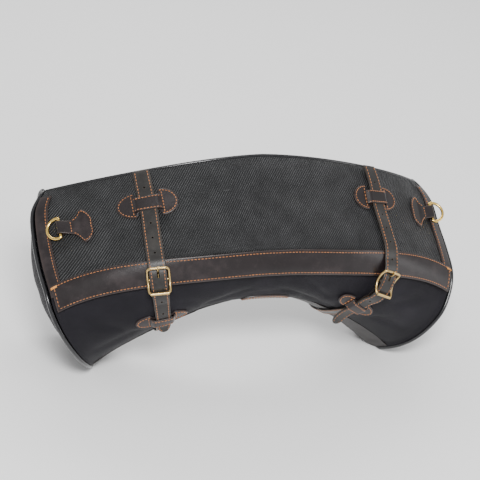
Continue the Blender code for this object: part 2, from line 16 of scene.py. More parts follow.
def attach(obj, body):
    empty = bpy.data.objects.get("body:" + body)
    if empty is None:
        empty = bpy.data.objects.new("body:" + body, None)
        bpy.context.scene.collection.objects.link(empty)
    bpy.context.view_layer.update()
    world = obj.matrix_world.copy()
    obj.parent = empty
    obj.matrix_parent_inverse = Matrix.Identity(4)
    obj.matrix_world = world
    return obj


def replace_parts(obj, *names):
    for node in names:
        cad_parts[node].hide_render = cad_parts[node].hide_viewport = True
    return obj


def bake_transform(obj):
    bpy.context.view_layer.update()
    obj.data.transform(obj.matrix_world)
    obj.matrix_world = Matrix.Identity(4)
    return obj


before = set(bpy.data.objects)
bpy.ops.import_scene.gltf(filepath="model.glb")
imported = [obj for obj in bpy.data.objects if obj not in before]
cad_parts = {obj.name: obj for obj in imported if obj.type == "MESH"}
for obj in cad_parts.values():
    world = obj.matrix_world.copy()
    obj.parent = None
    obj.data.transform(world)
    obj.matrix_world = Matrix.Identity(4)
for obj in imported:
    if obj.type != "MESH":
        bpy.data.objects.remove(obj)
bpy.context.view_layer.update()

# ---------------------------------------------------------------- the bag's surface, as in the CAD
LEAN = math.radians(27)
SHIFT_Y, SHIFT_Z = -0.0107, -0.0006
TOP_HALF_X, BASE_HALF_X = 0.283, 0.219
TOP_Z, TOP_DROOP, BELLY_Z, BELLY_DROOP = 0.281, 0.052, 0.093, 0.099
TOP_Y, BASE_Y, BASE_SWEEP = -0.105, -0.095, 0.080
FRONT_DEPTH, BACK_DEPTH, END_YAW = (0.072, 0.092), (0.070, 0.060), 0.038
ARCH_ROUND, SWEEP_CURVE, DROOP_CURVE, END_CURVE = 0.10, 1.42, 1.50, 4
# The section, from the top seam round the front: forward at the bag's middle and at its ends,
# up, and sideways at the ends
SECTION = np.array([
    (0.00, 0.00, 1.000, -0.011), (0.28, 0.16, 0.770, 0.008), (0.52, 0.38, 0.460, 0.013),
    (0.80, 0.68, 0.160, 0.011), (0.98, 0.94, -0.100, 0.006), (1.00, 1.00, -0.340, 0.005),
    (0.96, 0.98, -0.600, 0.000), (0.74, 0.76, -0.850, -0.007), (0.35, 0.38, -0.990, -0.010),
    (-0.20, -0.20, -1.020, -0.005), (-0.62, -0.62, -0.920, 0.004), (-0.92, -0.92, -0.600, 0.012),
    (-1.00, -1.00, -0.100, 0.018), (-0.92, -0.92, 0.400, 0.017), (-0.62, -0.62, 0.800, 0.010),
    (-0.25, -0.25, 0.985, -0.003),
])
LEATHER, STRAP, GAP = 0.0016, 0.0020, 0.0003
PIPING_R, TOP_PIPING_R = 0.0027, 0.0022
MOUTH_EDGE, FLAP_END, HEM_END, HEM_WIDTH = 0.050, 0.984, 0.975, 0.033
END_STRIP_FROM, DOME = 0.938, 0.020
BASE_FROM, BASE_TO = 8.20, 10.40
STRAP_T = 0.552
CHAPE, STRAP_LOW, CHAPE_TOP, TAIL_LOW, BACK_STRAP_TOP = 0.0015, 0.0062, 0.0038, 0.0041, 0.0025
UPPER_KEEPER = 0.051
BUCKLE_DOWN = {"left": 0.1535, "right": 0.1715}
KEEPER_BELOW = {"left": 0.067, "right": 0.050}
TAIL_PAST_KEEPER = {"left": 0.023, "right": 0.036}
TAIL_LIFT = {"left": 0.006, "right": 0.014}
STRAP_START = {"left": 0.0017, "right": 0.0065}
STRAP_LEANS = {
    "left": [(0.0, -4.0), (0.05, 0.0), (0.08, 5.0), (0.16, 3.0), (0.25, 1.0)],
    "right": [
        (0.0, 2.0), (0.06, 5.0), (0.125, 6.0), (0.152, -5.0), (0.174, -13.0), (0.196, -22.0),
        (0.215, -24.0), (0.240, -20.0), (0.27, 0.0),
    ],
}
BAR_HEIGHT, BAR_R, FRAME_BOW = 0.0097, 0.0013, 0.0078
FRAME_HALF_W, FRAME_HALF_L, FRAME_CORNER = 0.0138, 0.0168, 0.0045
TAB_T = {"left": 0.895, "right": 0.935}
TAB_DOWN = {"left": 0.066, "right": 0.060}
RING_LIFT = {"left": 0.0, "right": 0.65}
D_WIRE_R, D_INNER = 0.0020, 0.0125
FLAP_LAYERS = 0.0020
PATCH_DOWN, PATCH_HALF_T = 0.228, 0.152
BINDING_R, BINDING_END = 0.0013, 0.925
SIDES = (("left", -1), ("right", 1))


def smooth(x, low, high):
    u = np.clip((x - low) / (high - low), 0, 1)
    return u * u * (3 - 2 * u)


def spline(a, b, c, d, u):
    """A smooth curve from b to c while u runs from 0 to 1; a and d are their neighbours."""
    return 0.5 * (2 * b + (c - a) * u + (2 * a - 5 * b + 4 * c - d) * u**2 + (3 * b - 3 * c + d - a) * u**3)


def skin_row(t, ws):
    """Points of the bag's outer surface at t, for an array of places ws round the section."""
    share = abs(t)
    ws = np.asarray(ws, float)
    k = np.floor(ws).astype(int)
    u = (ws - k)[:, None]
    p = spline(*(SECTION[(k + i) % len(SECTION)] for i in (-1, 0, 1, 2)), u)
    forward = p[:, 0] + (p[:, 1] - p[:, 0]) * share**2
    up = p[:, 2:3]
    top = np.array((TOP_HALF_X * share, TOP_Y + 0.105 * share**2.2, TOP_Z - TOP_DROOP * share**1.6))
    bend = (math.hypot(share, ARCH_ROUND) - ARCH_ROUND) / (math.hypot(1, ARCH_ROUND) - ARCH_ROUND)
    back, droop = BASE_SWEEP * bend**SWEEP_CURVE, BELLY_DROOP * bend**DROOP_CURVE
    base = np.array((BASE_HALF_X * share, BASE_Y + back, BELLY_Z - droop))
    f = FRONT_DEPTH[0] + (FRONT_DEPTH[1] - FRONT_DEPTH[0]) * share
    r = BACK_DEPTH[0] + (BACK_DEPTH[1] - BACK_DEPTH[0]) * share
    depth = np.where(forward > 0, f, r)
    ones = np.ones_like(depth)
    front = np.stack((END_YAW * share**1.5 * depth / FRONT_DEPTH[1], -depth, 0.010 * share * ones), 1)
    q = (top + base) / 2 + (top - base) / 2 * up + front * forward[:, None]
    q[:, 0] += p[:, 3] * share**END_CURVE
    y = q[:, 1] * math.cos(LEAN) + q[:, 2] * math.sin(LEAN) + SHIFT_Y
    z = q[:, 2] * math.cos(LEAN) - q[:, 1] * math.sin(LEAN) + SHIFT_Z
    return np.stack((q[:, 0] * (-1 if t < 0 else 1), y, z), 1)


@functools.lru_cache(maxsize=None)
def girth(t):
    ws = np.arange(0, 16.01, 0.05)
    steps = np.linalg.norm(np.diff(skin_row(t, ws), axis=0), axis=1)
    return ws, np.concatenate([[0], np.cumsum(steps)])


def w_down(t, down):
    """The w at a distance down the front from the top seam."""
    ws, lengths = girth(round(float(t), 4))
    return np.interp(down, lengths, ws)


def down_at(t, w):
    ws, lengths = girth(round(float(t), 4))
    return np.interp(w, ws, lengths)


def hem_down(t):
    return 0.1366 - 0.022 * t**2 + 0.043 * t**6


def skin_rows(t, ws):
    """Surface points and outward normals at t for an array ws."""
    ws = np.atleast_1d(np.asarray(ws, float))
    p = skin_row(t, ws)
    along = skin_row(t + 0.002, ws) - skin_row(t - 0.002, ws)
    if abs(t) < 0.002:
        along = np.tile((1.0, 0.0, 0.0), (len(ws), 1))
    around = skin_row(t, ws + 0.02) - skin_row(t, ws - 0.02)
    n = -np.cross(along, around)
    n /= np.linalg.norm(n, axis=1)[:, None]
    return p, n


def on_skin(t, w, out=0.0, floor=0.0):
    p, n = skin_rows(t, [w])
    q = p[0] + n[0] * out
    q[2] = max(q[2], floor)
    return Vector(q), Vector(n[0])


# ---------------------------------------------------------------- camera, floor and light
def camera():
    """The photograph's view, turned with the bag when it leans back."""
    az, el, roll, distance = math.radians(-19.20), math.radians(8.32), math.radians(0.43), 2.175
    back = Vector((math.sin(az) * math.cos(el), -math.cos(az) * math.cos(el), math.sin(el)))
    right = Vector((math.cos(az), math.sin(az), 0.0))
    up = back.cross(right)
    right, up = right * math.cos(roll) + up * math.sin(roll), up * math.cos(roll) - right * math.sin(roll)
    tilt = Matrix.Rotation(-LEAN, 3, "X")
    target = tilt @ Vector((0.0, -0.0706, 0.14)) + Vector((0.0, SHIFT_Y, SHIFT_Z))
    back, right, up = tilt @ back, tilt @ right, tilt @ up
    data = bpy.data.cameras.new("camera")
    data.lens, data.shift_x, data.shift_y = 119.88, -0.0244792, 0.0356667
    data.clip_end = 20.0
    made = bpy.data.objects.new("camera", data)
    bpy.context.scene.collection.objects.link(made)
    turn = Matrix((right, up, back)).transposed()
    made.matrix_world = Matrix.Translation(target + back * distance) @ turn.to_4x4()
    bpy.context.scene.camera = made


def area_light(name, place, aim, size, power):
    data = bpy.data.lights.new(name, "AREA")
    data.shape = "RECTANGLE"
    data.size, data.size_y = size
    data.energy = power
    made = bpy.data.objects.new(name, data)
    bpy.context.scene.collection.objects.link(made)
    made.location = place
    made.rotation_euler = (Vector(aim) - Vector(place)).to_track_quat("-Z", "Y").to_euler()


WORLD_LIGHT = 0.75


def studio():
    world = bpy.data.worlds.new("studio")
    world.use_nodes = True
    world.node_tree.nodes["Background"].inputs["Color"].default_value = (1.0, 1.0, 1.0, 1.0)
    world.node_tree.nodes["Background"].inputs["Strength"].default_value = WORLD_LIGHT
    bpy.context.scene.world = world
    aim = (0.0, 0.0, 0.14)
    area_light("key", (-0.5, -1.5, 1.9), aim, (0.7, 0.5), 60)
    area_light("fill", (1.9, -1.0, 0.7), aim, (0.9, 0.9), 9)
    area_light("rim", (0.2, 1.2, 1.5), aim, (2.0, 0.4), 18)
    mesh = bpy.data.meshes.new("floor")
    mesh.from_pydata([(-9, -9, 0), (9, -9, 0), (9, 9, 0), (-9, 9, 0)], [], [(0, 1, 2, 3)])
    floor = bpy.data.objects.new("floor", mesh)
    bpy.context.scene.collection.objects.link(floor)
    mesh.materials.append(plain("floor_white", (0.93, 0.93, 0.93), 0.9))


# ---------------------------------------------------------------- materials
class Nodes:
    """Short names for building one material's nodes."""

    def __init__(self, name, color, roughness, metallic=0.0, specular=0.5):
        self.material = bpy.data.materials.new(name)
        self.material.use_nodes = True
        self.tree = self.material.node_tree
        self.shader = self.tree.nodes["Principled BSDF"]
        self.put("Base Color", (*color, 1.0))
        self.put("Roughness", roughness)
        self.put("Metallic", metallic)
        self.put("Specular IOR Level", specular)
        self.material.diffuse_color = (*color, 1.0)

    def add(self, kind, **values):
        node = self.tree.nodes.new("ShaderNode" + kind)
        for key, value in values.items():
            setattr(node, key, value)
        return node

    def link(self, out, into):
        self.tree.links.new(out, into)

    def math(self, operation, a, b=0.0, clamp=False):
        node = self.add("Math", operation=operation, use_clamp=clamp)
        for socket, value in zip(node.inputs, (a, b)):
            if isinstance(value, (int, float)):
                socket.default_value = value
            else:
                self.link(value, socket)
        return node.outputs[0]

    def put(self, name, value):
        self.shader.inputs[name].default_value = value

    def weighed(self, a, x, b, y):
        """a * x + b * y"""
        return self.math("ADD", self.math("MULTIPLY", a, x), self.math("MULTIPLY", b, y))

    def wave(self, value):
        """A value from -1 to 1 brought to 0 to 1."""
        out = self.math("MULTIPLY_ADD", value, 0.5)
        out.node.inputs[2].default_value = 0.5
        return out

    def noise(self, vector, scale, detail=3.0, roughness=0.55):
        node = self.add("TexNoise")
        node.inputs["Scale"].default_value = scale
        node.inputs["Detail"].default_value = detail
        node.inputs["Roughness"].default_value = roughness
        self.link(vector, node.inputs["Vector"])
        return node.outputs["Fac"]

    def ramp(self, fac, stops):
        node = self.add("ValToRGB")
        elements = node.color_ramp.elements
        while len(elements) < len(stops):
            elements.new(0.5)
        for element, (place, color) in zip(elements, stops):
            element.position = place
            element.color = (*color, 1.0) if len(color) == 3 else color
        self.link(fac, node.inputs["Fac"])
        return node.outputs["Color"]

    def mix(self, fac, a, b):
        node = self.add("Mix", data_type="RGBA")
        for socket, value in ((node.inputs[0], fac), (node.inputs[6], a), (node.inputs[7], b)):
            if isinstance(value, tuple):
                socket.default_value = (*value, 1.0)
            elif isinstance(value, (int, float)):
                socket.default_value = value
            else:
                self.link(value, socket)
        return node.outputs[2]

    def span(self, fac, low, high):
        """fac, 0 to 1, stretched to low to high."""
        node = self.add("MapRange")
        node.inputs["To Min"].default_value = low
        node.inputs["To Max"].default_value = high
        self.link(fac, node.inputs["Value"])
        return node.outputs["Result"]

    def uv(self):
        node = self.add("UVMap")
        node.uv_map = "UVMap"
        return node.outputs["UV"]

    def where(self):
        return self.add("TexCoord").outputs["Object"]

    def attribute(self, name):
        node = self.add("Attribute", attribute_name=name)
        return node.outputs["Fac"]

    def bump(self, height, distance, strength=1.0, after=None):
        node = self.add("Bump")
        node.inputs["Strength"].default_value = strength
        node.inputs["Distance"].default_value = distance
        self.link(height, node.inputs["Height"])
        if after is not None:
            self.link(after, node.inputs["Normal"])
        return node.outputs["Normal"]

    def finish(self, color=None, roughness=None, normal=None):
        for value, socket in ((color, "Base Color"), (roughness, "Roughness"), (normal, "Normal")):
            if value is not None:
                self.link(value, self.shader.inputs[socket])
        return self.material


def plain(name, color, roughness):
    n = Nodes(name, color, roughness)
    shade = n.noise(n.where(), 3.0)
    return n.finish(color=n.mix(n.span(shade, 0.0, 0.06), color, tuple(c * 0.9 for c in color)))


def weave(name, color, painted_highlight, pitch, slope, roughness, depth, sheen):
    """Twill: slanted ribs broken into short floats, laid out on the cloth in metres. Its colour carries a
    painted highlight on the rib tops and painted shade in the grooves.
    """
    n = Nodes(name, color, roughness, specular=0.30)
    n.put("Sheen Weight", sheen)
    n.put("Sheen Roughness", 0.35)
    parts = n.add("SeparateXYZ")
    n.link(n.uv(), parts.inputs[0])
    u, v = parts.outputs[0], parts.outputs[1]
    turn = 2 * math.pi / pitch
    across = n.weighed(u, turn * math.cos(slope), v, turn * math.sin(slope))
    rib = n.wave(n.math("SINE", across))
    step = n.weighed(u, -2 * turn * math.sin(slope), v, 1.3 * turn * math.cos(slope))
    knot = n.wave(n.math("SINE", step))
    height = n.math("MULTIPLY", rib, n.math("ADD", n.math("MULTIPLY", knot, 0.55), 0.45))
    fade = n.noise(n.uv(), 34.0, 4.0)
    fuzz = n.noise(n.uv(), 900.0, 2.0)
    tone = n.math("MULTIPLY", height, n.math("ADD", n.math("MULTIPLY", fade, 0.9), 0.35))
    tone = n.math("ADD", tone, n.math("MULTIPLY", n.math("SUBTRACT", fuzz, 0.5), 0.35), clamp=True)
    # Painted highlight and painted shade: the weave's height, faded at random, runs the colour from a third
    # of the base colour in the grooves to the pale highlight colour on the rib tops.
    base = n.ramp(tone, [(0.0, tuple(c * 0.35 for c in color)), (0.45, color), (1.0, painted_highlight)])
    rough = n.span(n.math("MULTIPLY", fade, height), roughness + 0.12, roughness - 0.10)
    return n.finish(color=base, roughness=rough, normal=n.bump(height, depth))


def cloth(name, color, painted_highlight, pitch, roughness, depth):
    """A fine plain weave whose colour carries painted shade in its gaps and a painted highlight on its
    crossings, mixed with random tone.
    """
    n = Nodes(name, color, roughness, specular=0.16)
    n.put("Sheen Weight", 0.03)
    n.put("Sheen Roughness", 0.4)
    parts = n.add("SeparateXYZ")
    n.link(n.uv(), parts.inputs[0])
    turn = 2 * math.pi / pitch
    a = n.math("SINE", n.math("MULTIPLY", parts.outputs[0], turn))
    b = n.math("SINE", n.math("MULTIPLY", parts.outputs[1], turn))
    height = n.wave(n.math("MULTIPLY", a, b))
    fade = n.noise(n.uv(), 16.0, 4.0)
    fuzz = n.noise(n.uv(), 1300.0, 2.0)
    tone = n.weighed(height, 0.45, fade, 0.55)
    tone = n.math("ADD", tone, n.math("MULTIPLY", n.math("SUBTRACT", fuzz, 0.5), 0.3), clamp=True)
    # Painted highlight and painted shade: the weave's height, with random fading and fuzz, runs the colour
    # from half the base colour to the pale highlight colour.
    base = n.ramp(tone, [(0.25, tuple(c * 0.5 for c in color)), (0.6, color), (1.0, painted_highlight)])
    rough = n.span(fade, roughness + 0.08, roughness - 0.08)
    return n.finish(color=base, roughness=rough, normal=n.bump(height, depth))


def leather(name, color, worn, edge, roughness, wear=0.5):
    """Waxed leather: fine grain, cloudy tone, pale scuffs and lighter cut edges."""
    n = Nodes(name, color, roughness, specular=0.38)
    n.put("Coat Weight", 0.08)
    n.put("Coat Roughness", 0.35)
    where = n.where()
    grain = n.add("TexVoronoi")
    grain.inputs["Scale"].default_value = 900.0
    n.link(where, grain.inputs["Vector"])
    cloud = n.noise(where, 26.0, 5.0, 0.65)
    scuff = n.noise(where, 75.0, 6.0, 0.7)
    fine = n.noise(where, 700.0, 3.0)
    cloudy = n.ramp(cloud, [(0.30, tuple(c * 0.6 for c in color)), (0.52, color), (0.74, worn)])
    marks = n.math("MULTIPLY", n.math("SUBTRACT", scuff, 0.56, clamp=True), 3.2 * wear, clamp=True)
    body = n.mix(marks, cloudy, tuple(min(c * 1.5, 1) for c in worn))
    rim = n.math("SUBTRACT", 1.0, n.attribute("inset"), clamp=True)
    patchy = n.math("ADD", n.math("MULTIPLY", scuff, 1.1), -0.10, clamp=True)
    rim = n.math("MULTIPLY", rim, patchy, clamp=True)
    shade = n.mix(rim, body, edge)
    shade = n.mix(n.span(fine, 0.0, 0.22), shade, tuple(c * 0.4 for c in color))
    height = n.weighed(grain.outputs["Distance"], 0.6, fine, 0.5)
    normal = n.bump(height, 0.00025, 0.55, after=n.bump(cloud, 0.0012, 0.35))
    rough = n.span(n.weighed(cloud, 0.6, marks, 0.5), roughness - 0.14, roughness + 0.20)
    return n.finish(color=shade, roughness=rough, normal=normal)


def brass(name, color, dark, roughness, patina):
    n = Nodes(name, color, roughness, metallic=1.0)
    where = n.where()
    stain = n.noise(where, 130.0, 5.0, 0.6)
    fine = n.noise(where, 1200.0, 2.0)
    base = n.mix(n.span(n.math("MULTIPLY", stain, stain), 0.0, patina), color, dark)
    rough = n.span(stain, roughness - 0.08, roughness + 0.18)
    return n.finish(color=base, roughness=rough, normal=n.bump(fine, 0.00006, 0.5))


def vinyl(name, color, roughness):
    n = Nodes(name, color, roughness, specular=0.45)
    n.put("Coat Weight", 0.3)
    n.put("Coat Roughness", 0.16)
    where = n.where()
    fine = n.noise(where, 420.0, 3.0)
    slow = n.noise(where, 45.0, 3.0)
    base = n.mix(slow, color, tuple(c * 2.2 for c in color))
    rough = n.span(slow, roughness - 0.06, roughness + 0.12)
    return n.finish(color=base, roughness=rough, normal=n.bump(fine, 0.0002, 0.4))


def thread(name, color):
    n = Nodes(name, color, 0.6, specular=0.35)
    n.put("Sheen Weight", 0.3)
    where = n.where()
    twist = n.noise(where, 1500.0, 2.0)
    tone = n.noise(where, 90.0, 3.0)
    dim, lit = tuple(c * 0.55 for c in color), tuple(min(1, c * 1.35) for c in color)
    base = n.ramp(tone, [(0.3, dim), (0.6, color), (0.8, lit)])
    return n.finish(color=base, normal=n.bump(twist, 0.0003, 0.6))


# ---------------------------------------------------------------- mesh builders
def piece(name, points, faces, look, slot, uvs=None, inset=None, sharp=50):
    """A mesh object; uvs and inset hold one value for each point."""
    mesh = bpy.data.meshes.new(name)
    mesh.from_pydata([tuple(map(float, p)) for p in points], [], faces)
    if uvs is not None:
        corners = np.zeros(len(mesh.loops), np.int32)
        mesh.loops.foreach_get("vertex_index", corners)
        layer = mesh.uv_layers.new(name="UVMap")
        layer.data.foreach_set("uv", np.asarray(uvs, np.float32)[corners].ravel())
    if inset is not None:
        rim = mesh.attributes.new("inset", "FLOAT", "POINT")
        rim.data.foreach_set("value", np.asarray(inset, np.float32))
    work = bmesh.new()
    work.from_mesh(mesh)
    bmesh.ops.recalc_face_normals(work, faces=work.faces)
    work.to_mesh(mesh)
    work.free()
    mesh.shade_smooth()
    mesh.set_sharp_from_angle(angle=math.radians(sharp))
    mesh.materials.append(look)
    made = bpy.data.objects.new(name, mesh)
    bpy.context.scene.collection.objects.link(made)
    return made


def slab_faces(rows, count):
    """Faces of a closed sheet between two grids of rows by count points, inner grid first."""
    half = rows * count
    faces = []
    for i in range(rows - 1):
        for j in range(count - 1):
            a, b = i * count + j, i * count + j + 1
            faces.append((a, b, b + count, a + count))
            faces.append((half + a, half + a + count, half + b + count, half + b))
    rim = [(0, j) for j in range(count)] + [(i, count - 1) for i in range(1, rows)]
    rim += [(rows - 1, j) for j in range(count - 2, -1, -1)] + [(i, 0) for i in range(rows - 2, 0, -1)]
    ring = [i * count + j for i, j in rim]
    faces += [(a, half + a, half + b, b) for a, b in zip(ring, ring[1:] + ring[:1])]
    return faces


def fabric(name, ts, edges, rows, low, high, look, slot, relief=None):
    """Cloth over the bag: edges(t) gives the w of its two edges and relief its folds."""
    inner, outer, uvs = [], [], []
    for t in ts:
        first, last = edges(t)
        ws = np.linspace(first, last, rows)
        p, n = skin_rows(t, ws)
        down = down_at(t, ws)
        fold = relief(t, down) if relief else np.zeros(rows)
        inner.append(p + n * (low + fold)[:, None])
        outer.append(p + n * (high + fold)[:, None])
        uvs.append(np.stack((np.full(rows, t * TOP_HALF_X), -down), 1))
    inner, outer, uvs = (np.concatenate(part) for part in (inner, outer, uvs))
    inner[:, 2] = np.maximum(inner[:, 2], high - low)
    outer[:, 2] = np.maximum(outer[:, 2], 0.0)
    faces = slab_faces(len(ts), rows)
    return piece(name, np.concatenate((inner, outer)), faces, look, slot, np.concatenate((uvs, uvs)))


def tube(name, points, radius, look, slot, closed=False, sides=14):
    """A round tube through points, with domed ends; radius may be one value for each point."""
    p = np.array([tuple(q) for q in points], float)
    count = len(p)
    r = np.broadcast_to(np.asarray(radius, float), (count,)).copy()
    ahead = np.roll(p, -1, 0) - np.roll(p, 1, 0)
    if not closed:
        ahead[0], ahead[-1] = p[1] - p[0], p[-1] - p[-2]
    ahead /= np.linalg.norm(ahead, axis=1)[:, None]
    side = np.cross(ahead[0], (0.31, 0.52, 0.79))
    sides_of = []
    for k in range(count):
        side = side - ahead[k] * side.dot(ahead[k])
        side /= np.linalg.norm(side)
        sides_of.append(side)
    sides_of = np.array(sides_of)
    if closed:
        last = sides_of[-1] - ahead[0] * sides_of[-1].dot(ahead[0])
        last /= np.linalg.norm(last)
        up = np.cross(ahead[0], sides_of[0])
        gap = math.atan2(last.dot(up), last.dot(sides_of[0]))
    else:
        gap = 0.0
    ups = np.cross(ahead, sides_of)
    rings = []
    for k in range(count):
        turns = np.arange(sides) * 2 * math.pi / sides - gap * k / count
        rings.append(p[k] + r[k] * (np.cos(turns)[:, None] * sides_of[k] + np.sin(turns)[:, None] * ups[k]))
    points = list(np.concatenate(rings))
    faces = []
    for k in range(count if closed else count - 1):
        a, b = k * sides, (k + 1) % count * sides
        faces += [(a + j, a + (j + 1) % sides, b + (j + 1) % sides, b + j) for j in range(sides)]
    if not closed:
        for k, way in ((0, -1), (count - 1, 1)):
            points.append(p[k] + ahead[k] * way * r[k] * 0.5)
            tip = len(points) - 1
            faces += [(k * sides + j, k * sides + (j + 1) % sides, tip) for j in range(sides)]
    return piece(name, points, faces, look, slot, sharp=60)


def crowned(half, columns=9):
    """Places across a leather piece, closer together near its edges, and their distance in."""
    s = np.sin(np.linspace(-1, 1, columns) * math.pi / 2)
    return s * half, (1 - np.abs(s)) * half


ROUND = 0.0007                  # radius of a leather piece's worn edge
RIM = 0.0025                    # width of the paler rim along that edge


def skive(inside):
    """How much lower a worn edge lies at a distance in from it."""
    share = np.clip(1 - inside / ROUND, 0, 1)
    return ROUND * (1 - np.sqrt(np.clip(1 - share**2, 0, 1)))


def leather_piece(name, place, path, look, slot, thickness, columns=9):
    """A strap-like sheet. path holds (along, out, half width); out is its underside."""
    inner, outer, uvs, insets = [], [], [], []
    lengths = [0.0]
    for a, b in zip(path, path[1:]):
        lengths.append(lengths[-1] + math.hypot(b[0] - a[0], b[1] - a[1]))
    for k, (along, out, half) in enumerate(path):
        before, after = path[max(k - 1, 0)], path[min(k + 1, len(path) - 1)]
        run = Vector((after[0] - before[0], after[1] - before[1])).normalized()
        across, inside = crowned(half, columns)
        ends = min(lengths[k], lengths[-1] - lengths[k])
        inside = np.minimum(inside, ends)
        for s, d, depth in zip(across, skive(inside), inside):
            high = thickness - math.copysign(d, thickness)
            inner.append(place(along, s, out))
            outer.append(place(along - run.y * high, s, out + run.x * high))
            uvs.append((s, lengths[k]))
            insets.append(min(depth / RIM, 1.0))
    faces = slab_faces(len(path), columns)
    return piece(name, inner + outer, faces, look, slot, uvs + uvs, insets + insets, sharp=70)


class Stitches:
    """Many short stitches gathered into one mesh."""

    def __init__(self):
        self.points, self.faces = [], []

    def one(self, a, b, out, width=0.00050):
        """A stitch from a to b, bulging along out, its ends sunk into the piece."""
        run = (b - a).normalized()
        side = run.cross(out).normalized()
        first = len(self.points)
        rings = [
            (-0.04, -0.5, 0.5), (0.16, 0.55, 1.0), (0.5, 0.95, 1.1), (0.84, 0.55, 1.0), (1.04, -0.5, 0.5),
        ]
        for share, rise, size in rings:
            middle = a.lerp(b, share) + out * (rise * width)
            for k in range(6):
                turn = k * math.pi / 3
                around = side * (math.cos(turn) * size) + out * (math.sin(turn) * size)
                self.points.append(middle + around * width)
        for k in range(len(rings) - 1):
            r = first + 6 * k
            self.faces += [(r + j, r + (j + 1) % 6, r + 6 + (j + 1) % 6, r + 6 + j) for j in range(6)]
        self.faces.append(tuple(first + j for j in range(6)))
        self.faces.append(tuple(first + 6 * (len(rings) - 1) + j for j in range(6)))

    def row(self, spots, pitch=0.0045, fill=0.66, width=0.00050):
        """Stitches along spots, a list of (point, outward direction)."""
        points = [Vector(spot[0]) for spot in spots]
        lengths = [0.0]
        for a, b in zip(points, points[1:]):
            lengths.append(lengths[-1] + (b - a).length)
        count = max(int(lengths[-1] / pitch), 1)
        step = lengths[-1] / count

        def at(length):
            k = int(np.clip(np.searchsorted(lengths, length) - 1, 0, len(points) - 2))
            u = (length - lengths[k]) / max(lengths[k + 1] - lengths[k], 1e-9)
            out = Vector(spots[k][1]).lerp(Vector(spots[k + 1][1]), u)
            return points[k].lerp(points[k + 1], u), out.normalized()

        for k in range(count):
            a, out = at(step * (k + 0.5 - fill / 2))
            b, _ = at(step * (k + 0.5 + fill / 2))
            if (b - a).length > 0.0004:
                self.one(a, b, out, width)

    def done(self, name, look):
        return piece(name, self.points, self.faces, look, None, sharp=80)


# ---------------------------------------------------------------- places on the bag
def chart(t0, down0, turn=0.0):
    """Local places on the bag: (along, across, out) from a point of its surface."""
    cos, sin = math.cos(turn), math.sin(turn)
    w0, step = w_down(t0, down0), 0.01
    size = np.linalg.norm(skin_row(t0 + step, [w0]) - skin_row(t0 - step, [w0])) / (2 * step)

    def place(along, across, out, floor=0.0):
        down = down0 + along * cos - across * sin
        t = t0 + (along * sin + across * cos) / size
        return on_skin(t, w_down(t, down), out, floor)[0]

    return place


def strap_lean(side, length):
    places, leans = zip(*STRAP_LEANS[side])
    return math.radians(float(np.interp(length, places, leans)))


def strap_line(side):
    """The strap's middle line from the top seam: rows of length, down and sideways."""
    down, sideways, line = 0.0, STRAP_START[side], []
    step = 0.002
    for k in range(330):
        line.append((k * step, down, sideways))
        lean = strap_lean(side, k * step)
        down += math.cos(lean) * step
        sideways += math.sin(lean) * step
    return np.array(line)


def strap_chart(side, sign):
    """Places on one strap: (length down the strap from the top seam, across, out)."""
    line = strap_line(side)

    def place(length, across, out, floor=0.0):
        down = np.interp(length, line[:, 0], line[:, 1])
        sideways = np.interp(length, line[:, 0], line[:, 2])
        lean = strap_lean(side, length)
        down -= across * math.sin(lean)
        sideways += across * math.cos(lean)
        t = sign * (STRAP_T + sideways / TOP_HALF_X)
        return on_skin(t, w_down(t, down), out, floor)[0]

    return place


def shifted(place, start):
    return lambda along, across, out, floor=0.0: place(start + along, across, out, floor)


def height_at(table, along):
    places, heights = zip(*table)
    k = max([i for i in range(len(places) - 1) if places[i] <= along] + [0])
    u = min(max((along - places[k]) / (places[k + 1] - places[k]), 0), 1)
    return heights[k] + (heights[k + 1] - heights[k]) * u * u * (3 - 2 * u)


def outward(place, along, across):
    """The direction straight out of the bag at a chart's place."""
    return (place(along, across, 0.004) - place(along, across, 0.0)).normalized()


def spots(place, path, out):
    """Places and outward directions for a list of (along, across)."""
    return [(place(a, c, out), outward(place, a, c)) for a, c in path]


# ---------------------------------------------------------------- looks
# The pale second colour given to each weave below is a painted highlight on its raised threads.
CHARCOAL = weave(
    "flap_weave", color=(0.0075, 0.0078, 0.0088), painted_highlight=(0.115, 0.117, 0.122), pitch=0.0027, slope=-0.60,
    roughness=0.36, depth=0.0008, sheen=0.0,
)
NAVY = cloth(
    "body_weave", color=(0.0080, 0.0071, 0.0104), painted_highlight=(0.036, 0.033, 0.045), pitch=0.0016, roughness=0.58,
    depth=0.0003,
)
DARK_LEATHER = leather(
    "dark_leather", color=(0.0125, 0.0084, 0.0092), worn=(0.034, 0.0245, 0.0250), edge=(0.062, 0.040, 0.033),
    roughness=0.38, wear=0.55,
)
BASE_LEATHER = leather(
    "base_leather", color=(0.0055, 0.0040, 0.0042), worn=(0.011, 0.0080, 0.0082), edge=(0.018, 0.012, 0.011),
    roughness=0.55, wear=0.3,
)
STRAP_LEATHER = leather(
    "strap_leather", color=(0.0165, 0.0150, 0.0140), worn=(0.036, 0.033, 0.030), edge=(0.060, 0.046, 0.036),
    roughness=0.40, wear=0.35,
)
PIPING = vinyl("piping", (0.006, 0.006, 0.007), 0.20)
BINDING = vinyl("binding", (0.009, 0.009, 0.010), 0.42)
BRIGHT_BRASS = brass("bright_brass", (0.88, 0.60, 0.17), (0.45, 0.27, 0.06), 0.17, 0.35)
ANTIQUE_BRASS = brass("antique_brass", (0.62, 0.44, 0.19), (0.17, 0.11, 0.042), 0.27, 0.75)
THREAD = thread("orange_thread", (0.42, 0.150, 0.040))
BRIGHT_THREAD = thread("bartack_thread", (0.72, 0.30, 0.05))


# ---------------------------------------------------------------- folds of the cloth
def near(t, down, t0, d0, half_t, half_d):
    """1 inside an oval round a place, falling to 0 at one and a half times its size."""
    far = np.hypot((t - t0) / half_t, (down - d0) / half_d)
    return 1 - smooth(far, 0.95, 1.5)


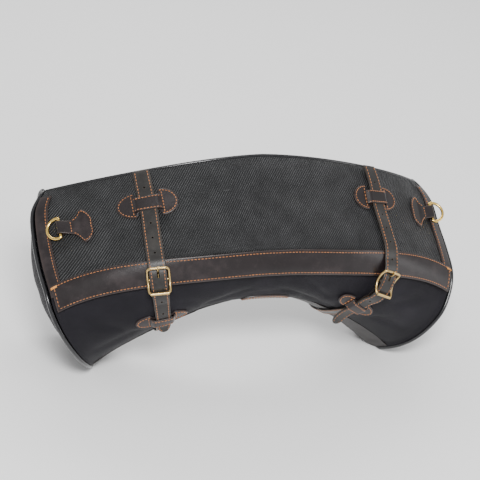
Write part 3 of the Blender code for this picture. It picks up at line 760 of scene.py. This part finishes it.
def crease(t, down, a, b, width):
    """A soft furrow from a to b, both (t, down); 1 along its middle."""
    x, y = (t - a[0]) * TOP_HALF_X, down - a[1]
    bx, by = (b[0] - a[0]) * TOP_HALF_X, b[1] - a[1]
    share = np.clip((x * bx + y * by) / (bx * bx + by * by), 0, 1)
    far = np.hypot(x - share * bx, y - share * by)
    return np.exp(-(far / width) ** 2) * np.sin(math.pi * np.clip(share * 0.98 + 0.01, 0, 1)) ** 0.5


def wander(t, down, scale, seed):
    """Smooth noise over the cloth, -1 to 1."""
    return np.array([noise.noise(Vector((t * TOP_HALF_X * scale, d * scale, seed))) for d in down])


def swell(t, down, scale, seed):
    """The same noise, 0 to 1."""
    return 0.5 + 0.5 * wander(t, down, scale, seed)


def pressed(t, down):
    """How firmly leather holds the cloth flat at a place of the flap, 0 to 1."""
    held = 1 - smooth(np.abs(np.abs(t) - STRAP_T), 0.045, 0.085)
    for sign in (-1, 1):
        held = np.maximum(held, near(t, down, sign * 0.56, UPPER_KEEPER, 0.145, 0.022))
        held = np.maximum(held, near(t, down, sign * 0.86, TAB_DOWN["left"], 0.115, 0.030))
    held = np.maximum(held, smooth(np.abs(t) + 0 * down, 0.91, 0.935))
    return np.maximum(held, smooth(down, hem_down(t) - 0.010, hem_down(t) - 0.001))


def flap_folds(t, down):
    """Folds of the flap: a slack middle, puckers under the top seam, and ripples over the hem."""
    free = 1 - pressed(t, down)
    slack = 0.0016 * swell(t, down, 16.0, 3.0)
    small = 0.0005 * swell(t, down, 60.0, 7.0)
    gathers = 0.5 + 0.5 * np.sin(t * TOP_HALF_X * 2 * math.pi / 0.011 + 2.2 * wander(t, down, 40.0, 1.0))
    pucker = 0.0008 * gathers * smooth(down, 0.002, 0.006) * (1 - smooth(down, 0.010, 0.022))
    over_hem = hem_down(t) - down
    ripple = 0.5 + 0.5 * np.sin(t * TOP_HALF_X * 2 * math.pi / 0.034 + 3 * wander(t, down, 18.0, 5.0))
    ripple = 0.0009 * ripple * smooth(over_hem, 0.004, 0.012) * (1 - smooth(over_hem, 0.012, 0.034))
    dents = sum(
        0.0012 * crease(t, down, a, b, 0.007)
        for a, b in (
            ((-0.28, 0.035), (0.02, 0.085)), ((0.08, 0.050), (0.30, 0.110)),
            ((-0.40, 0.090), (-0.12, 0.120)), ((-0.76, 0.108), (-0.66, 0.075)),
            ((0.70, 0.112), (0.79, 0.095)), ((0.66, 0.030), (0.80, 0.020)),
        )
    )
    return -(slack + small + ripple + dents) * free - pucker


def body_folds(t, down):
    """Folds of the front below the flap, strongest round the lower keepers."""
    held = np.zeros_like(down)
    for side, sign in SIDES:
        lower = BUCKLE_DOWN[side] + KEEPER_BELOW[side]
        held = np.maximum(held, near(t, down, sign * 0.565, lower, 0.15, 0.018))
        held = np.maximum(held, near(t, down, sign * 0.60, lower - 0.03, 0.05, 0.05))
    held = np.maximum(held, near(t, down, 0.0, PATCH_DOWN, 0.17, 0.015))
    held = np.maximum(held, smooth(np.abs(t) + 0 * down, 0.962, 0.985))
    slack = 0.0022 * swell(t, down, 13.0, 11.0)
    small = 0.0006 * swell(t, down, 55.0, 13.0)
    furrows = sum(
        depth * crease(t, down, a, b, width)
        for a, b, depth, width in (
            ((0.40, 0.245), (0.05, 0.200), 0.0030, 0.007), ((0.42, 0.225), (0.18, 0.178), 0.0022, 0.006),
            ((0.66, 0.235), (0.92, 0.255), 0.0022, 0.008), ((0.70, 0.210), (0.90, 0.190), 0.0018, 0.008),
            ((-0.42, 0.225), (-0.10, 0.195), 0.0024, 0.007), ((-0.70, 0.235), (-0.93, 0.265), 0.0022, 0.009),
            ((-0.46, 0.245), (-0.20, 0.232), 0.0020, 0.006), ((-0.93, 0.200), (-0.76, 0.225), 0.0018, 0.007),
        )
    )
    return -(slack + small + furrows) * (1 - held)


def back_folds(t, down):
    held = smooth(np.abs(t) + 0 * down, 0.95, 0.972)
    held = np.maximum(held, 1 - smooth(np.abs(np.abs(t) - 0.56), 0.05, 0.09))
    slack = 0.0026 * swell(t, down, 10.0, 21.0) + 0.0007 * swell(t, down, 45.0, 23.0)
    return -slack * (1 - held)


def base_folds(t, down):
    held = smooth(np.abs(t) + 0 * down, 0.90, 0.95)
    held = np.maximum(held, 1 - smooth(np.abs(np.abs(t) - 0.5), 0.08, 0.13))
    return -0.0014 * swell(t, down, 14.0, 31.0) * (1 - held)


# ---------------------------------------------------------------- body
FABRIC, BACK_PAD, PANEL_END = 0.0022, 0.0035, 0.9885


def between(end, count):
    """Stations along the bag, closer together near its ends."""
    s = np.linspace(-1, 1, count)
    return [float(t) for t in end * (s + 0.05 * np.sin(s * math.pi))]


def body():
    seam = 0.0028

    def back(t):
        size = np.linalg.norm(skin_row(t, [15.9]) - skin_row(t, [16.0])) / 0.1
        return BASE_TO + 0.005, 16.0 - seam / size

    def front(t):
        return w_down(t, MOUTH_EDGE), BASE_FROM

    def base(t):
        return BASE_FROM + 0.005, BASE_TO

    panels = (
        ("front_fabric", "front_panel", front, 96, FABRIC, NAVY, "body_nylon", body_folds),
        ("base_leather", "base_panel", base, 34, FABRIC, BASE_LEATHER, "dark_leather", base_folds),
        ("back_fabric", "back_panel", back, 70, BACK_PAD, NAVY, "body_nylon", back_folds),
    )
    for name, node, edges, rows, thick, look, slot, folds in panels:
        made = fabric(name, between(PANEL_END, 190), edges, rows, -thick, 0.0, look, slot, folds)
        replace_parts(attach(made, "bag_body"), node)


def end_caps():
    ws = np.linspace(0, 16, 161)[:-1]
    low = 2 * PIPING_R + GAP - 0.0016
    for side, sign in SIDES:
        p, n = skin_rows(float(sign), ws)
        ring = p.copy()
        ring[:, 2] = np.maximum(ring[:, 2], PIPING_R)
        made = tube("end_piping_tube_" + side, ring, PIPING_R, PIPING, "piping", closed=True, sides=18)
        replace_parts(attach(made, "bag_body"), "end_piping_" + side)
        edge = p - n * (PIPING_R + 0.0006)
        edge[:, 2] = np.maximum(edge[:, 2], low)
        middle = edge.mean(0)
        out = np.array((sign * 0.90, 0.15, -0.40))
        out /= np.linalg.norm(out)
        inner, outer, uvs = [], [], []
        shares = np.cos(np.linspace(0, 0.98, 26) * math.pi / 2)
        for share in shares:
            bulge = DOME * (1 - share**2) ** 0.9
            spot = middle + (edge - middle) * share
            ripple = np.array([
                noise.noise(Vector(q * 16.0)) * 0.0022 + noise.noise(Vector(q * 48.0)) * 0.0007 for q in spot
            ])
            rim = np.clip((share - 0.72) / 0.28, 0, 1) * (1 - share) * 6
            gather = 0.0009 * np.sin(ws * 2 * math.pi * 2.5) * rim
            lift = bulge + (ripple * min((1 - share) * 6, 1)) + gather
            inner.append(spot + out * lift[:, None])
            outer.append(spot + out * (lift[:, None] + FABRIC))
            uvs.append(np.stack((spot[:, 1], spot[:, 2]), 1))
        count = len(ws)
        half = count * len(shares) + 1
        tops = [middle + out * DOME, middle + out * (DOME + FABRIC)]
        points = np.concatenate((np.concatenate(inner), [tops[0]], np.concatenate(outer), [tops[1]]))
        points[:, 2] = np.maximum(points[:, 2], low)
        flat = np.concatenate((np.concatenate(uvs), [middle[1:]]))
        faces = []
        for base in (0, half):
            for i in range(len(shares) - 1):
                for j in range(count):
                    a, b = base + i * count + j, base + i * count + (j + 1) % count
                    faces.append((a, b, b + count, a + count))
            last = base + (len(shares) - 1) * count
            faces += [(last + j, last + (j + 1) % count, base + half - 1) for j in range(count)]
        faces += [(j, (j + 1) % count, half + (j + 1) % count, half + j) for j in range(count)]
        made = piece("end_fabric_" + side, points, faces, NAVY, "body_nylon", np.concatenate((flat, flat)))
        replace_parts(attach(made, "bag_body"), "end_cap_" + side)


def top_edge():
    seam = [on_skin(float(t), 0.0, 0.0004)[0] for t in np.linspace(-FLAP_END, FLAP_END, 221)]
    made = tube("top_piping_tube", seam, TOP_PIPING_R, PIPING, "piping", sides=16)
    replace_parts(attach(made, "bag_body"), "top_piping")
    ts = np.linspace(-BINDING_END, BINDING_END, 181)
    edge = [on_skin(float(t), w_down(t, MOUTH_EDGE - 0.0018), -0.0011)[0] for t in ts]
    made = tube("mouth_binding_tube", edge, BINDING_R, BINDING, "piping", sides=10)
    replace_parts(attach(made, "bag_body"), "mouth_binding")


# ---------------------------------------------------------------- flap
FOLD_FROM, FOLD_TO = Vector((0.0, 0.0209, 0.2956)), Vector((0.0, -0.0056, 0.2759))


def with_flap(made, *nodes):
    """Bakes the piece's transform into its mesh and hides the CAD parts it replaces."""
    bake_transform(made)
    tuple(FOLD_FROM)
    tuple(FOLD_TO)
    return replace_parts(made, *nodes) if nodes else made


def skin_sheet(name, ts, edges, rows, low, thickness, look, slot, ends=True):
    """A leather sheet over the bag with worn edges; edges(t) gives its two distances down."""
    ts = [float(t) for t in ts]
    inner, outer, uvs, insets = [], [], [], []
    across = (1 - np.cos(np.linspace(0, 1, rows) * math.pi)) / 2
    for t in ts:
        first, last = edges(t)
        down = first + (last - first) * across
        ws = w_down(t, down)
        p, n = skin_rows(t, ws)
        inside = np.minimum(down - first, last - down)
        if ends:
            inside = np.minimum(inside, min(abs(t - ts[0]), abs(ts[-1] - t)) * 0.3)
        inner.append(p + n * low)
        outer.append(p + n * (low + thickness - skive(inside))[:, None])
        uvs.append(np.stack((np.full(rows, t * TOP_HALF_X), -down), 1))
        insets.append(np.clip(inside / RIM, 0, 1))
    points = np.concatenate(inner + outer)
    uvs, insets = np.concatenate(uvs + uvs), np.concatenate(insets + insets)
    return piece(name, points, slab_faces(len(ts), rows), look, slot, uvs, insets, sharp=70)


def eased(low, high, count, edge=0.004):
    """Stations from low to high with extra ones close to both ends."""
    inner = np.linspace(low, high, count)
    close = np.array([0.0, 0.06, 0.18, 0.38, 0.7]) * edge
    return sorted(set(inner.tolist() + (low + close).tolist() + (high - close).tolist()))


HEM_LOW, HEM_SEAM = FLAP_LAYERS + LEATHER + 2 * GAP, 0.964


def flap(stitches):
    seam = TOP_PIPING_R + 0.0006

    def cloth_edges(t):
        return w_down(t, seam), w_down(t, hem_down(t) + 0.006)

    made = fabric(
        "flap_fabric", between(FLAP_END, 230), cloth_edges, 110, 0.0008, FLAP_LAYERS, CHARCOAL, "flap_nylon",
        flap_folds,
    )
    with_flap(made, "flap_hinge_strip", "flap_panel")
    for side, sign in SIDES:
        low = FLAP_LAYERS + GAP
        ts = sorted(sign * t for t in eased(END_STRIP_FROM, FLAP_END, 9))
        made = skin_sheet(
            "end_strip_leather_" + side, ts, lambda t: (0.0146, hem_down(t) + 0.013), 90, low, LEATHER,
            DARK_LEATHER, "dark_leather",
        )
        with_flap(made, "flap_end_strip_" + side)
        t = sign * (END_STRIP_FROM + 0.0085)
        stitches.row(down_line(t, 0.017, hem_down(t) - 0.001, low + LEATHER))
    ts = eased(-HEM_END, HEM_END, 260)
    made = skin_sheet(
        "hem_leather", ts, lambda t: (hem_down(t), hem_down(t) + HEM_WIDTH), 26, HEM_LOW, LEATHER,
        DARK_LEATHER, "dark_leather",
    )
    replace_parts(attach(made, "flap"), "flap_hem_band")
    top = HEM_LOW + LEATHER
    for inset in (0.0032, HEM_WIDTH - 0.0032):
        ts = np.linspace(-HEM_SEAM, HEM_SEAM, 200)
        stitches.row([skin_spot(t, hem_down(t) + inset, top) for t in ts])
    for sign in (-1, 1):
        t = sign * HEM_SEAM
        stitches.row(down_line(t, hem_down(t) + 0.0050, hem_down(t) + HEM_WIDTH - 0.0050, top))


def skin_spot(t, down, out):
    return on_skin(float(t), float(w_down(t, down)), out)


def down_line(t, first, last, out, count=40):
    return [skin_spot(t, d, out) for d in np.linspace(first, last, count)]


def bartacks():
    """Dense bright stitching across the hem's two upper corners."""
    stitches = Stitches()
    top = HEM_LOW + LEATHER
    for sign in (-1, 1):
        for k in range(7):
            t = sign * (0.953 + 0.0034 * k)
            down = hem_down(t) + 0.0022
            a, n = skin_spot(t, down, top)
            b, _ = skin_spot(t + sign * 0.002, down + 0.0030, top)
            stitches.one(a, b, n, 0.0006)
    return stitches.done("hem_bartacks", BRIGHT_THREAD)


KEEPER_HALF = 0.0360
UPPER_BASE = {"neck": 0.0100, "lobe_start": 0.0150, "lobe_half": 0.0180}
LOWER_BASE = {"neck": 0.0072, "lobe_start": 0.0160, "lobe_half": 0.0115}


def bow_tie(name, place, low, stitches, neck, lobe_start, lobe_half):
    """Two half-moon lobes joined by a neck, with a row of stitches round each lobe."""
    def half_at(across):
        reach = (abs(across) - lobe_start) / (KEEPER_HALF - lobe_start)
        if reach < 0:
            return neck
        return max(lobe_half * math.sqrt(max(1 - reach**2, 0)), 0.0006)

    turns = np.linspace(0, math.pi / 2, 16)
    lobe = lobe_start + (KEEPER_HALF - lobe_start) * np.sin(turns)
    middle = np.linspace(-lobe_start, lobe_start, 13)
    steps = [-lobe_start - 0.0001, lobe_start + 0.0001]
    stations = sorted(set((-lobe).tolist() + steps + middle.tolist() + lobe.tolist()))
    turned = turned_chart(place)
    path = [(across, low, half_at(across)) for across in stations]
    made = leather_piece(name, turned, path, DARK_LEATHER, "dark_leather", LEATHER, columns=15)
    inset = 0.0024
    for sign in (-1, 1):
        reach = KEEPER_HALF - lobe_start - inset
        arc = np.linspace(-math.pi / 2, math.pi / 2, 40)
        path = [
            ((lobe_half - inset) * math.sin(a), sign * (lobe_start + reach * math.cos(a))) for a in arc
        ]
        stitches.row(spots(place, path, low + LEATHER), pitch=SHORT_PITCH)
        alongs = np.linspace(-lobe_half + 0.004, lobe_half - 0.004, 12)
        line = [(a, sign * (lobe_start + 0.0028)) for a in alongs]
        stitches.row(spots(place, line, low + LEATHER), pitch=SHORT_PITCH)
    return made


def turned_chart(place):
    """The chart with its along and across directions exchanged."""
    return lambda along, across, out, floor=0.0: place(-across, along, out, floor)


LOOP_HALF, LOOP_FLAT, SHORT_PITCH = 0.0170, 0.0112, 0.0040


def loop_band(name, place, half_width, low, high, stitches):
    """A leather band over the strap; its two ends are sewn down at low."""
    def out_at(across):
        share = min(max((abs(across) - LOOP_FLAT) / (LOOP_HALF - LOOP_FLAT), 0), 1)
        return low + (high - low) * (1 + math.cos(math.pi * share)) / 2

    path = [(a, out_at(a), half_width) for a in np.linspace(-LOOP_HALF, LOOP_HALF, 41)]
    made = leather_piece(name, turned_chart(place), path, DARK_LEATHER, "dark_leather", LEATHER, columns=13)
    for sign in (-1, 1):
        a = sign * (half_width - 0.0018)
        run = np.linspace(-LOOP_HALF + 0.001, LOOP_HALF - 0.001, 30)
        line = [(place(a, c, out_at(c) + LEATHER), outward(place, a, c)) for c in run]
        stitches.row(line, pitch=SHORT_PITCH)
        c = sign * (LOOP_HALF - 0.0016)
        end = [(a, c) for a in np.linspace(-half_width + 0.002, half_width - 0.002, 12)]
        stitches.row(spots(place, end, low + LEATHER), pitch=SHORT_PITCH)
    return made


# ---------------------------------------------------------------- D-rings and their tabs
# Outline of a tab: (distance along it from the bar, rise of its underside, half width)
TAB_OUTLINE = [
    (-0.0450, 0.0, 0.0008), (-0.0446, 0.0, 0.0060), (-0.0437, 0.0, 0.0110), (-0.0422, 0.0, 0.0148),
    (-0.0400, 0.0, 0.0183), (-0.0370, 0.0, 0.0212), (-0.0338, 0.0, 0.0233), (-0.0310, 0.0, 0.0243),
    (-0.0293, 0.0, 0.0238), (-0.0278, 0.0, 0.0214), (-0.0262, 0.0003, 0.0186),
    (-0.0238, 0.0009, 0.0158), (-0.0210, 0.0017, 0.0133), (-0.0180, 0.0021, 0.0116),
    (-0.0150, 0.0021, 0.0104), (-0.0120, 0.0029, 0.0099), (-0.0090, 0.0044, 0.0098),
    (-0.0055, 0.0064, 0.0098),
]


def d_rings(stitches):
    low = FLAP_LAYERS + GAP
    radius = D_WIRE_R + 0.0005
    height = low + 2 * LEATHER + GAP + radius
    reach = D_INNER + D_WIRE_R
    neck = TAB_OUTLINE[-1][2]
    turns = np.radians(np.linspace(110, -90, 22))
    loop = [(radius * math.cos(a), height + radius * math.sin(a), neck) for a in turns]
    loop.append((-0.0060, height - radius, neck))
    for side, sign in SIDES:
        place = chart(sign * TAB_T[side], TAB_DOWN[side], sign * math.pi / 2)
        path = [(along, low + rise, half) for along, rise, half in TAB_OUTLINE]
        made = leather_piece(
            "tab_leather_" + side, place, path + loop, DARK_LEATHER, "dark_leather", LEATHER, 15
        )
        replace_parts(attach(made, "flap"), "d_ring_tab_" + side)
        inset = 0.0025
        for edge in (-1, 1):
            rows = [row for row in TAB_OUTLINE if -0.0440 < row[0] < -0.0150]
            line = [
                (place(a, edge * max(h - inset, 0.0), low + rise + LEATHER), outward(place, a, 0))
                for a, rise, h in rows
            ]
            line.insert(0, (place(-0.0450 + inset, 0, low + LEATHER), outward(place, -0.04, 0)))
            stitches.row(line, pitch=SHORT_PITCH)
        line = [(-0.0150, c) for c in np.linspace(-0.0080, 0.0080, 12)]
        stitches.row(spots(place, line, low + 0.0021 + LEATHER), pitch=0.0038, width=0.00055)
        middle = place(0, 0, height)
        away = (place(0.004, 0, height) - place(-0.004, 0, height)).normalized()
        bar = (place(0, 0.004, height) - place(0, -0.004, height)).normalized()
        away = (away - bar * away.dot(bar)).normalized()
        off = away.cross(bar) * sign
        away = away * math.cos(RING_LIFT[side]) + off * math.sin(RING_LIFT[side])
        ring = [middle + bar * (reach * s) for s in np.linspace(-0.92, 0.92, 24)]
        for angle in np.radians(np.linspace(90, -90, 61)):
            ring.append(middle + bar * (reach * math.sin(angle)) + away * (0.003 + reach * math.cos(angle)))
        made = tube(
            "d_ring_wire_" + side, ring, D_WIRE_R, BRIGHT_BRASS, "bright_brass", closed=True, sides=20
        )
        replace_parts(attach(made, "d_ring_" + side), "d_ring_" + side)


# ---------------------------------------------------------------- straps and buckles
STRAP_WIDTH, TONGUE_R, FRAME_R, PLATE_R, BAR_PLAY = 0.020, 0.0010, 0.0017, 0.0021, 0.00025
HOLE_PITCH, HOLE_R, TIP_LENGTH = 0.021, 0.0014, 0.013
STRAP_STITCH = {"pitch": 0.0046, "width": 0.00045}


def buckle_axes(place, bar):
    """The buckle's middle and its own directions: towards the tip, across and outwards."""
    middle = place(bar, 0, BAR_HEIGHT)
    across = (place(bar, 0.010, BAR_HEIGHT) - place(bar, -0.010, BAR_HEIGHT)).normalized()
    down = (place(bar + 0.012, 0, BAR_HEIGHT) - place(bar - 0.012, 0, BAR_HEIGHT)).normalized()
    down = (down - across * down.dot(across)).normalized()
    out = across.cross(down).normalized()
    if out.y > 0:
        out = -out
    return middle, down, across, out


def punch(made, holes):
    """Cuts round or long holes: each is (middle, direction along, direction out, half length, radius)."""
    work = bmesh.new()
    for middle, along, out, half, radius in holes:
        side = out.cross(along).normalized()
        ring = []
        for k in range(20):
            turn = k * math.pi / 10
            shift = half if math.cos(turn) > 0 else -half
            ring.append(middle + along * (shift + radius * math.cos(turn)) + side * radius * math.sin(turn))
        top = [work.verts.new(p + out * 0.005) for p in ring]
        low = [work.verts.new(p - out * 0.005) for p in ring]
        work.faces.new(top)
        work.faces.new(low[::-1])
        for k in range(20):
            work.faces.new((top[k], low[k], low[(k + 1) % 20], top[(k + 1) % 20]))
    bmesh.ops.recalc_face_normals(work, faces=work.faces)
    mesh = bpy.data.meshes.new("punch")
    work.to_mesh(mesh)
    work.free()
    tool = bpy.data.objects.new("punch", mesh)
    bpy.context.scene.collection.objects.link(tool)
    cut = made.modifiers.new("holes", "BOOLEAN")
    cut.operation, cut.object, cut.solver = "DIFFERENCE", tool, "EXACT"
    bpy.context.view_layer.update()
    done = bpy.data.meshes.new_from_object(made.evaluated_get(bpy.context.evaluated_depsgraph_get()))
    made.modifiers.clear()
    made.data = done
    bpy.data.objects.remove(tool, do_unlink=True)


def straps(flap_thread, body_thread):
    for side, sign in SIDES:
        place = strap_chart(side, sign)
        bar = BUCKLE_DOWN[side]
        keeper = bar + KEEPER_BELOW[side]
        upper_strap(side, place, bar, keeper, flap_thread)
        lower_strap(side, place, bar, keeper, body_thread)
        buckle(side, place, bar)
        upper, lower = shifted(place, UPPER_KEEPER), shifted(place, keeper)
        name, low = "upper_keeper_leather_" + side, FLAP_LAYERS + GAP
        made = bow_tie(name, upper, low, flap_thread, **UPPER_BASE)
        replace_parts(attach(made, "flap"), "upper_keeper_base_" + side)
        name, low, high = "upper_keeper_band_" + side, low + LEATHER + GAP, STRAP_LOW + STRAP + GAP
        made = loop_band(name, upper, 0.0095, low, high, flap_thread)
        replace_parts(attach(made, "flap"), "upper_keeper_loop_" + side)
        name = "lower_keeper_leather_" + side
        made = bow_tie(name, lower, GAP, body_thread, **LOWER_BASE)
        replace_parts(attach(made, "bag_body"), "lower_keeper_base_" + side)
        name, low, high = "lower_keeper_band_" + side, 2 * GAP + LEATHER, TAIL_LOW + STRAP + GAP
        made = loop_band(name, lower, 0.0072, low, high, body_thread)
        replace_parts(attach(made, "bag_body"), "lower_keeper_loop_" + side)


def upper_strap(side, place, bar, keeper, stitches):
    """From the top seam over the flap, through keeper and buckle, to the rounded tip."""
    table = [
        (0.100, STRAP_LOW),
        (bar - 0.034, STRAP_LOW + 0.0008),
        (bar - 0.016, BAR_HEIGHT + 0.0024),
        (bar - 0.006, BAR_HEIGHT + 0.0039),
        (bar + 0.006, BAR_HEIGHT + 0.0039),
        (bar + 0.016, BAR_HEIGHT + 0.0024),
        (bar + 0.036, TAIL_LOW + 0.0004),
        (bar + 0.044, TAIL_LOW),
    ]
    tip = keeper + TAIL_PAST_KEEPER[side]

    def out_at(along):
        free = max(along - keeper - 0.009, 0) / (tip - keeper - 0.009)
        return height_at(table, along) + TAIL_LIFT[side] * free**2

    def half_at(along):
        taper = max(along - (tip - TIP_LENGTH), 0) / TIP_LENGTH
        return STRAP_WIDTH / 2 * max(1 - taper**2.6, 0.0) ** 0.5

    stations = np.concatenate((
        0.005 + np.array([0.0, 0.0002, 0.0005, 0.0009]),
        np.linspace(0.007, tip - TIP_LENGTH, 150),
        tip - TIP_LENGTH * (1 - np.sin(np.linspace(0.05, 1, 20) * math.pi / 2)),
    ))
    path = [(a, out_at(a), max(half_at(a), 0.0005)) for a in stations]
    made = leather_piece("strap_leather_" + side, place, path, STRAP_LEATHER, "strap_leather", STRAP, 15)
    middle, down, _, out = buckle_axes(place, bar)
    holes = [(middle + down * -0.0098 + out * 0.0050, down, out, 0.0050, 0.0017)]
    above = np.arange(bar - 0.0300, 0.075, -HOLE_PITCH)
    below = np.arange(bar + 0.0290, keeper - 0.008, HOLE_PITCH)
    for along in np.concatenate((above, [0.030], below)):
        spot = place(along, 0, out_at(along) + STRAP / 2)
        after, before = along + 0.002, along - 0.002
        ahead = place(after, 0, out_at(after)) - place(before, 0, out_at(before))
        holes.append((spot, ahead.normalized(), outward(place, along, 0), 0.0, HOLE_R))
    punch(made, holes)
    with_flap(made, "strap_" + side)
    inset = 0.0026
    for edge in (-1, 1):
        line = []
        for a in np.linspace(0.007, tip - 0.0032, 170):
            half = half_at(a) - inset
            if a >= tip - 0.009:
                half = min(half, half_at(a + inset))
            line.append((place(a, edge * max(half, 0.0), out_at(a) + STRAP), outward(place, a, 0)))
        stitches.row(line, **STRAP_STITCH)


def lower_strap(side, place, bar, keeper, stitches):
    """Round the buckle's middle bar, over the hem, under the belly and up the back."""
    line = strap_line(side)
    radius = BAR_R + BAR_PLAY
    turns = np.radians(np.linspace(40, 270, 24))
    path = [(bar + radius * math.cos(a), BAR_HEIGHT + radius * math.sin(a)) for a in turns]
    top = BAR_HEIGHT - radius
    table = [
        (bar + 0.004, top),
        (bar + 0.014, top),
        (bar + 0.022, top - 0.0006),
        (bar + 0.032, CHAPE_TOP + 0.0004),
        (bar + 0.038, CHAPE_TOP),
        (keeper + 0.014, CHAPE_TOP),
        (keeper + 0.028, BACK_STRAP_TOP),
        (keeper + 0.040, BACK_STRAP_TOP),
    ]
    end = float(np.interp(girth(STRAP_T)[1][-1] - 0.030, line[:, 1], line[:, 0]))
    stations = np.linspace(bar + 0.005, end, 260)
    path += [(a, height_at(table, a)) for a in stations]
    half = STRAP_WIDTH / 2 - 0.0002
    rows = [(along, out, half) for along, out in path]
    name = "lower_strap_leather_" + side
    made = leather_piece(name, place, rows, STRAP_LEATHER, "strap_leather", -CHAPE, 13)
    middle, down, _, out = buckle_axes(place, bar)
    punch(made, [(middle, down, out, 0.0030, 0.0015)])
    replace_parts(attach(made, "bag_body"), "lower_strap_" + side)
    for edge in (-1, 1):
        line = [
            (place(a, edge * (half - 0.0022), height_at(table, a)), outward(place, a, 0))
            for a in np.linspace(bar + 0.024, end - 0.003, 200)
        ]
        stitches.row(line, **STRAP_STITCH)


def rounded_frame(count=96):
    """The buckle frame's wire: (towards the tip, across) round a rounded rectangle."""
    long, wide = FRAME_HALF_L - FRAME_CORNER, FRAME_HALF_W - FRAME_CORNER
    corners = []
    for k, (x, y) in enumerate(((1, 1), (-1, 1), (-1, -1), (1, -1))):
        for turn in np.radians(np.linspace(90 * k, 90 * k + 90, 10)):
            round_x, round_y = FRAME_CORNER * math.cos(turn), FRAME_CORNER * math.sin(turn)
            corners.append((x * long + round_x, y * wide + round_y))
    p = np.array(corners + corners[:1])
    lengths = np.concatenate([[0], np.cumsum(np.linalg.norm(np.diff(p, axis=0), axis=1))])
    at = np.linspace(0, lengths[-1], count, endpoint=False)
    return np.stack((np.interp(at, lengths, p[:, 0]), np.interp(at, lengths, p[:, 1])), 1)


def buckle(side, place, bar):
    middle, down, across, out = buckle_axes(place, bar)

    def spot(a, b, c):
        return middle + down * float(a) + across * float(b) + out * float(c)

    ring = [spot(a, b, FRAME_BOW * (a / FRAME_HALF_L) ** 2) for a, b in rounded_frame()]
    made = tube("frame_wire_" + side, ring, FRAME_R, ANTIQUE_BRASS, "antique_brass", closed=True, sides=16)
    line = [spot(0, b, 0) for b in np.linspace(-FRAME_HALF_W, FRAME_HALF_W, 12)]
    bar_made = tube("middle_bar_" + side, line, BAR_R, ANTIQUE_BRASS, "antique_brass")
    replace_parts(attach(made, "buckle_" + side), "buckle_frame_" + side)
    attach(bar_made, "buckle_" + side)
    end = FRAME_HALF_W - 0.002
    line = [spot(FRAME_HALF_L + 0.0001, b, FRAME_BOW) for b in np.linspace(-end, end, 24)]
    plate = tube("frame_plate_" + side, line, PLATE_R, ANTIQUE_BRASS, "antique_brass", sides=16)
    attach(plate, "buckle_" + side)
    eye = BAR_R + BAR_PLAY + TONGUE_R
    turns = np.radians(np.linspace(-160, 90, 30))
    path = [(eye * math.cos(a), eye * math.sin(a)) for a in turns]
    over_bar = FRAME_BOW + FRAME_R + TONGUE_R + GAP
    knots = np.array([
        (0.0, eye), (-0.0040, eye), (-0.0072, eye + 0.0001), (-0.0088, 0.0031), (-0.0110, 0.0057),
        (-0.0132, 0.0086), (-0.0150, over_bar - 0.0006), (-0.0170, over_bar), (-0.0195, over_bar - 0.0004),
    ])
    for u in np.linspace(0, 1, 40)[1:]:
        k = u * (len(knots) - 1)
        i = min(int(k), len(knots) - 2)
        a, b, c, d = knots[max(i - 1, 0)], knots[i], knots[i + 1], knots[min(i + 2, len(knots) - 1)]
        path.append(tuple(spline(a, b, c, d, k - i)))
    wide = [TONGUE_R] * (len(path) - 8) + list(np.linspace(TONGUE_R, TONGUE_R * 0.65, 8))
    line = [spot(a, 0, c) for a, c in path]
    made = tube("tongue_wire_" + side, line, wide, ANTIQUE_BRASS, "antique_brass", sides=12)
    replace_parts(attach(made, "tongue_" + side), "buckle_tongue_" + side)


def belly_patch(stitches):
    """A plain leather patch sewn low on the middle of the front."""
    def half_at(t):
        return 0.010 * math.sqrt(max(1 - (t / PATCH_HALF_T) ** 2, 0.0)) + 0.0004

    ts = PATCH_HALF_T * np.sin(np.linspace(-0.99, 0.99, 61) * math.pi / 2)
    made = skin_sheet(
        "patch_leather", ts, lambda t: (PATCH_DOWN - half_at(t), PATCH_DOWN + half_at(t)), 17, GAP, LEATHER,
        DARK_LEATHER, "dark_leather", ends=False,
    )
    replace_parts(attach(made, "bag_body"), "belly_patch")
    for way in (-1, 1):
        line = [
            skin_spot(t, PATCH_DOWN + way * max(half_at(t) - 0.0025, 0), GAP + LEATHER)
            for t in np.linspace(-0.146, 0.146, 60)
        ]
        stitches.row(line, pitch=0.0042)


studio()
camera()
flap_thread = Stitches()
body_thread = Stitches()
body()
end_caps()
top_edge()
flap(flap_thread)
d_rings(flap_thread)
straps(flap_thread, body_thread)
belly_patch(body_thread)
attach(bartacks(), "flap")
with_flap(flap_thread.done("flap_stitching", THREAD))
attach(body_thread.done("body_stitching", THREAD), "bag_body")
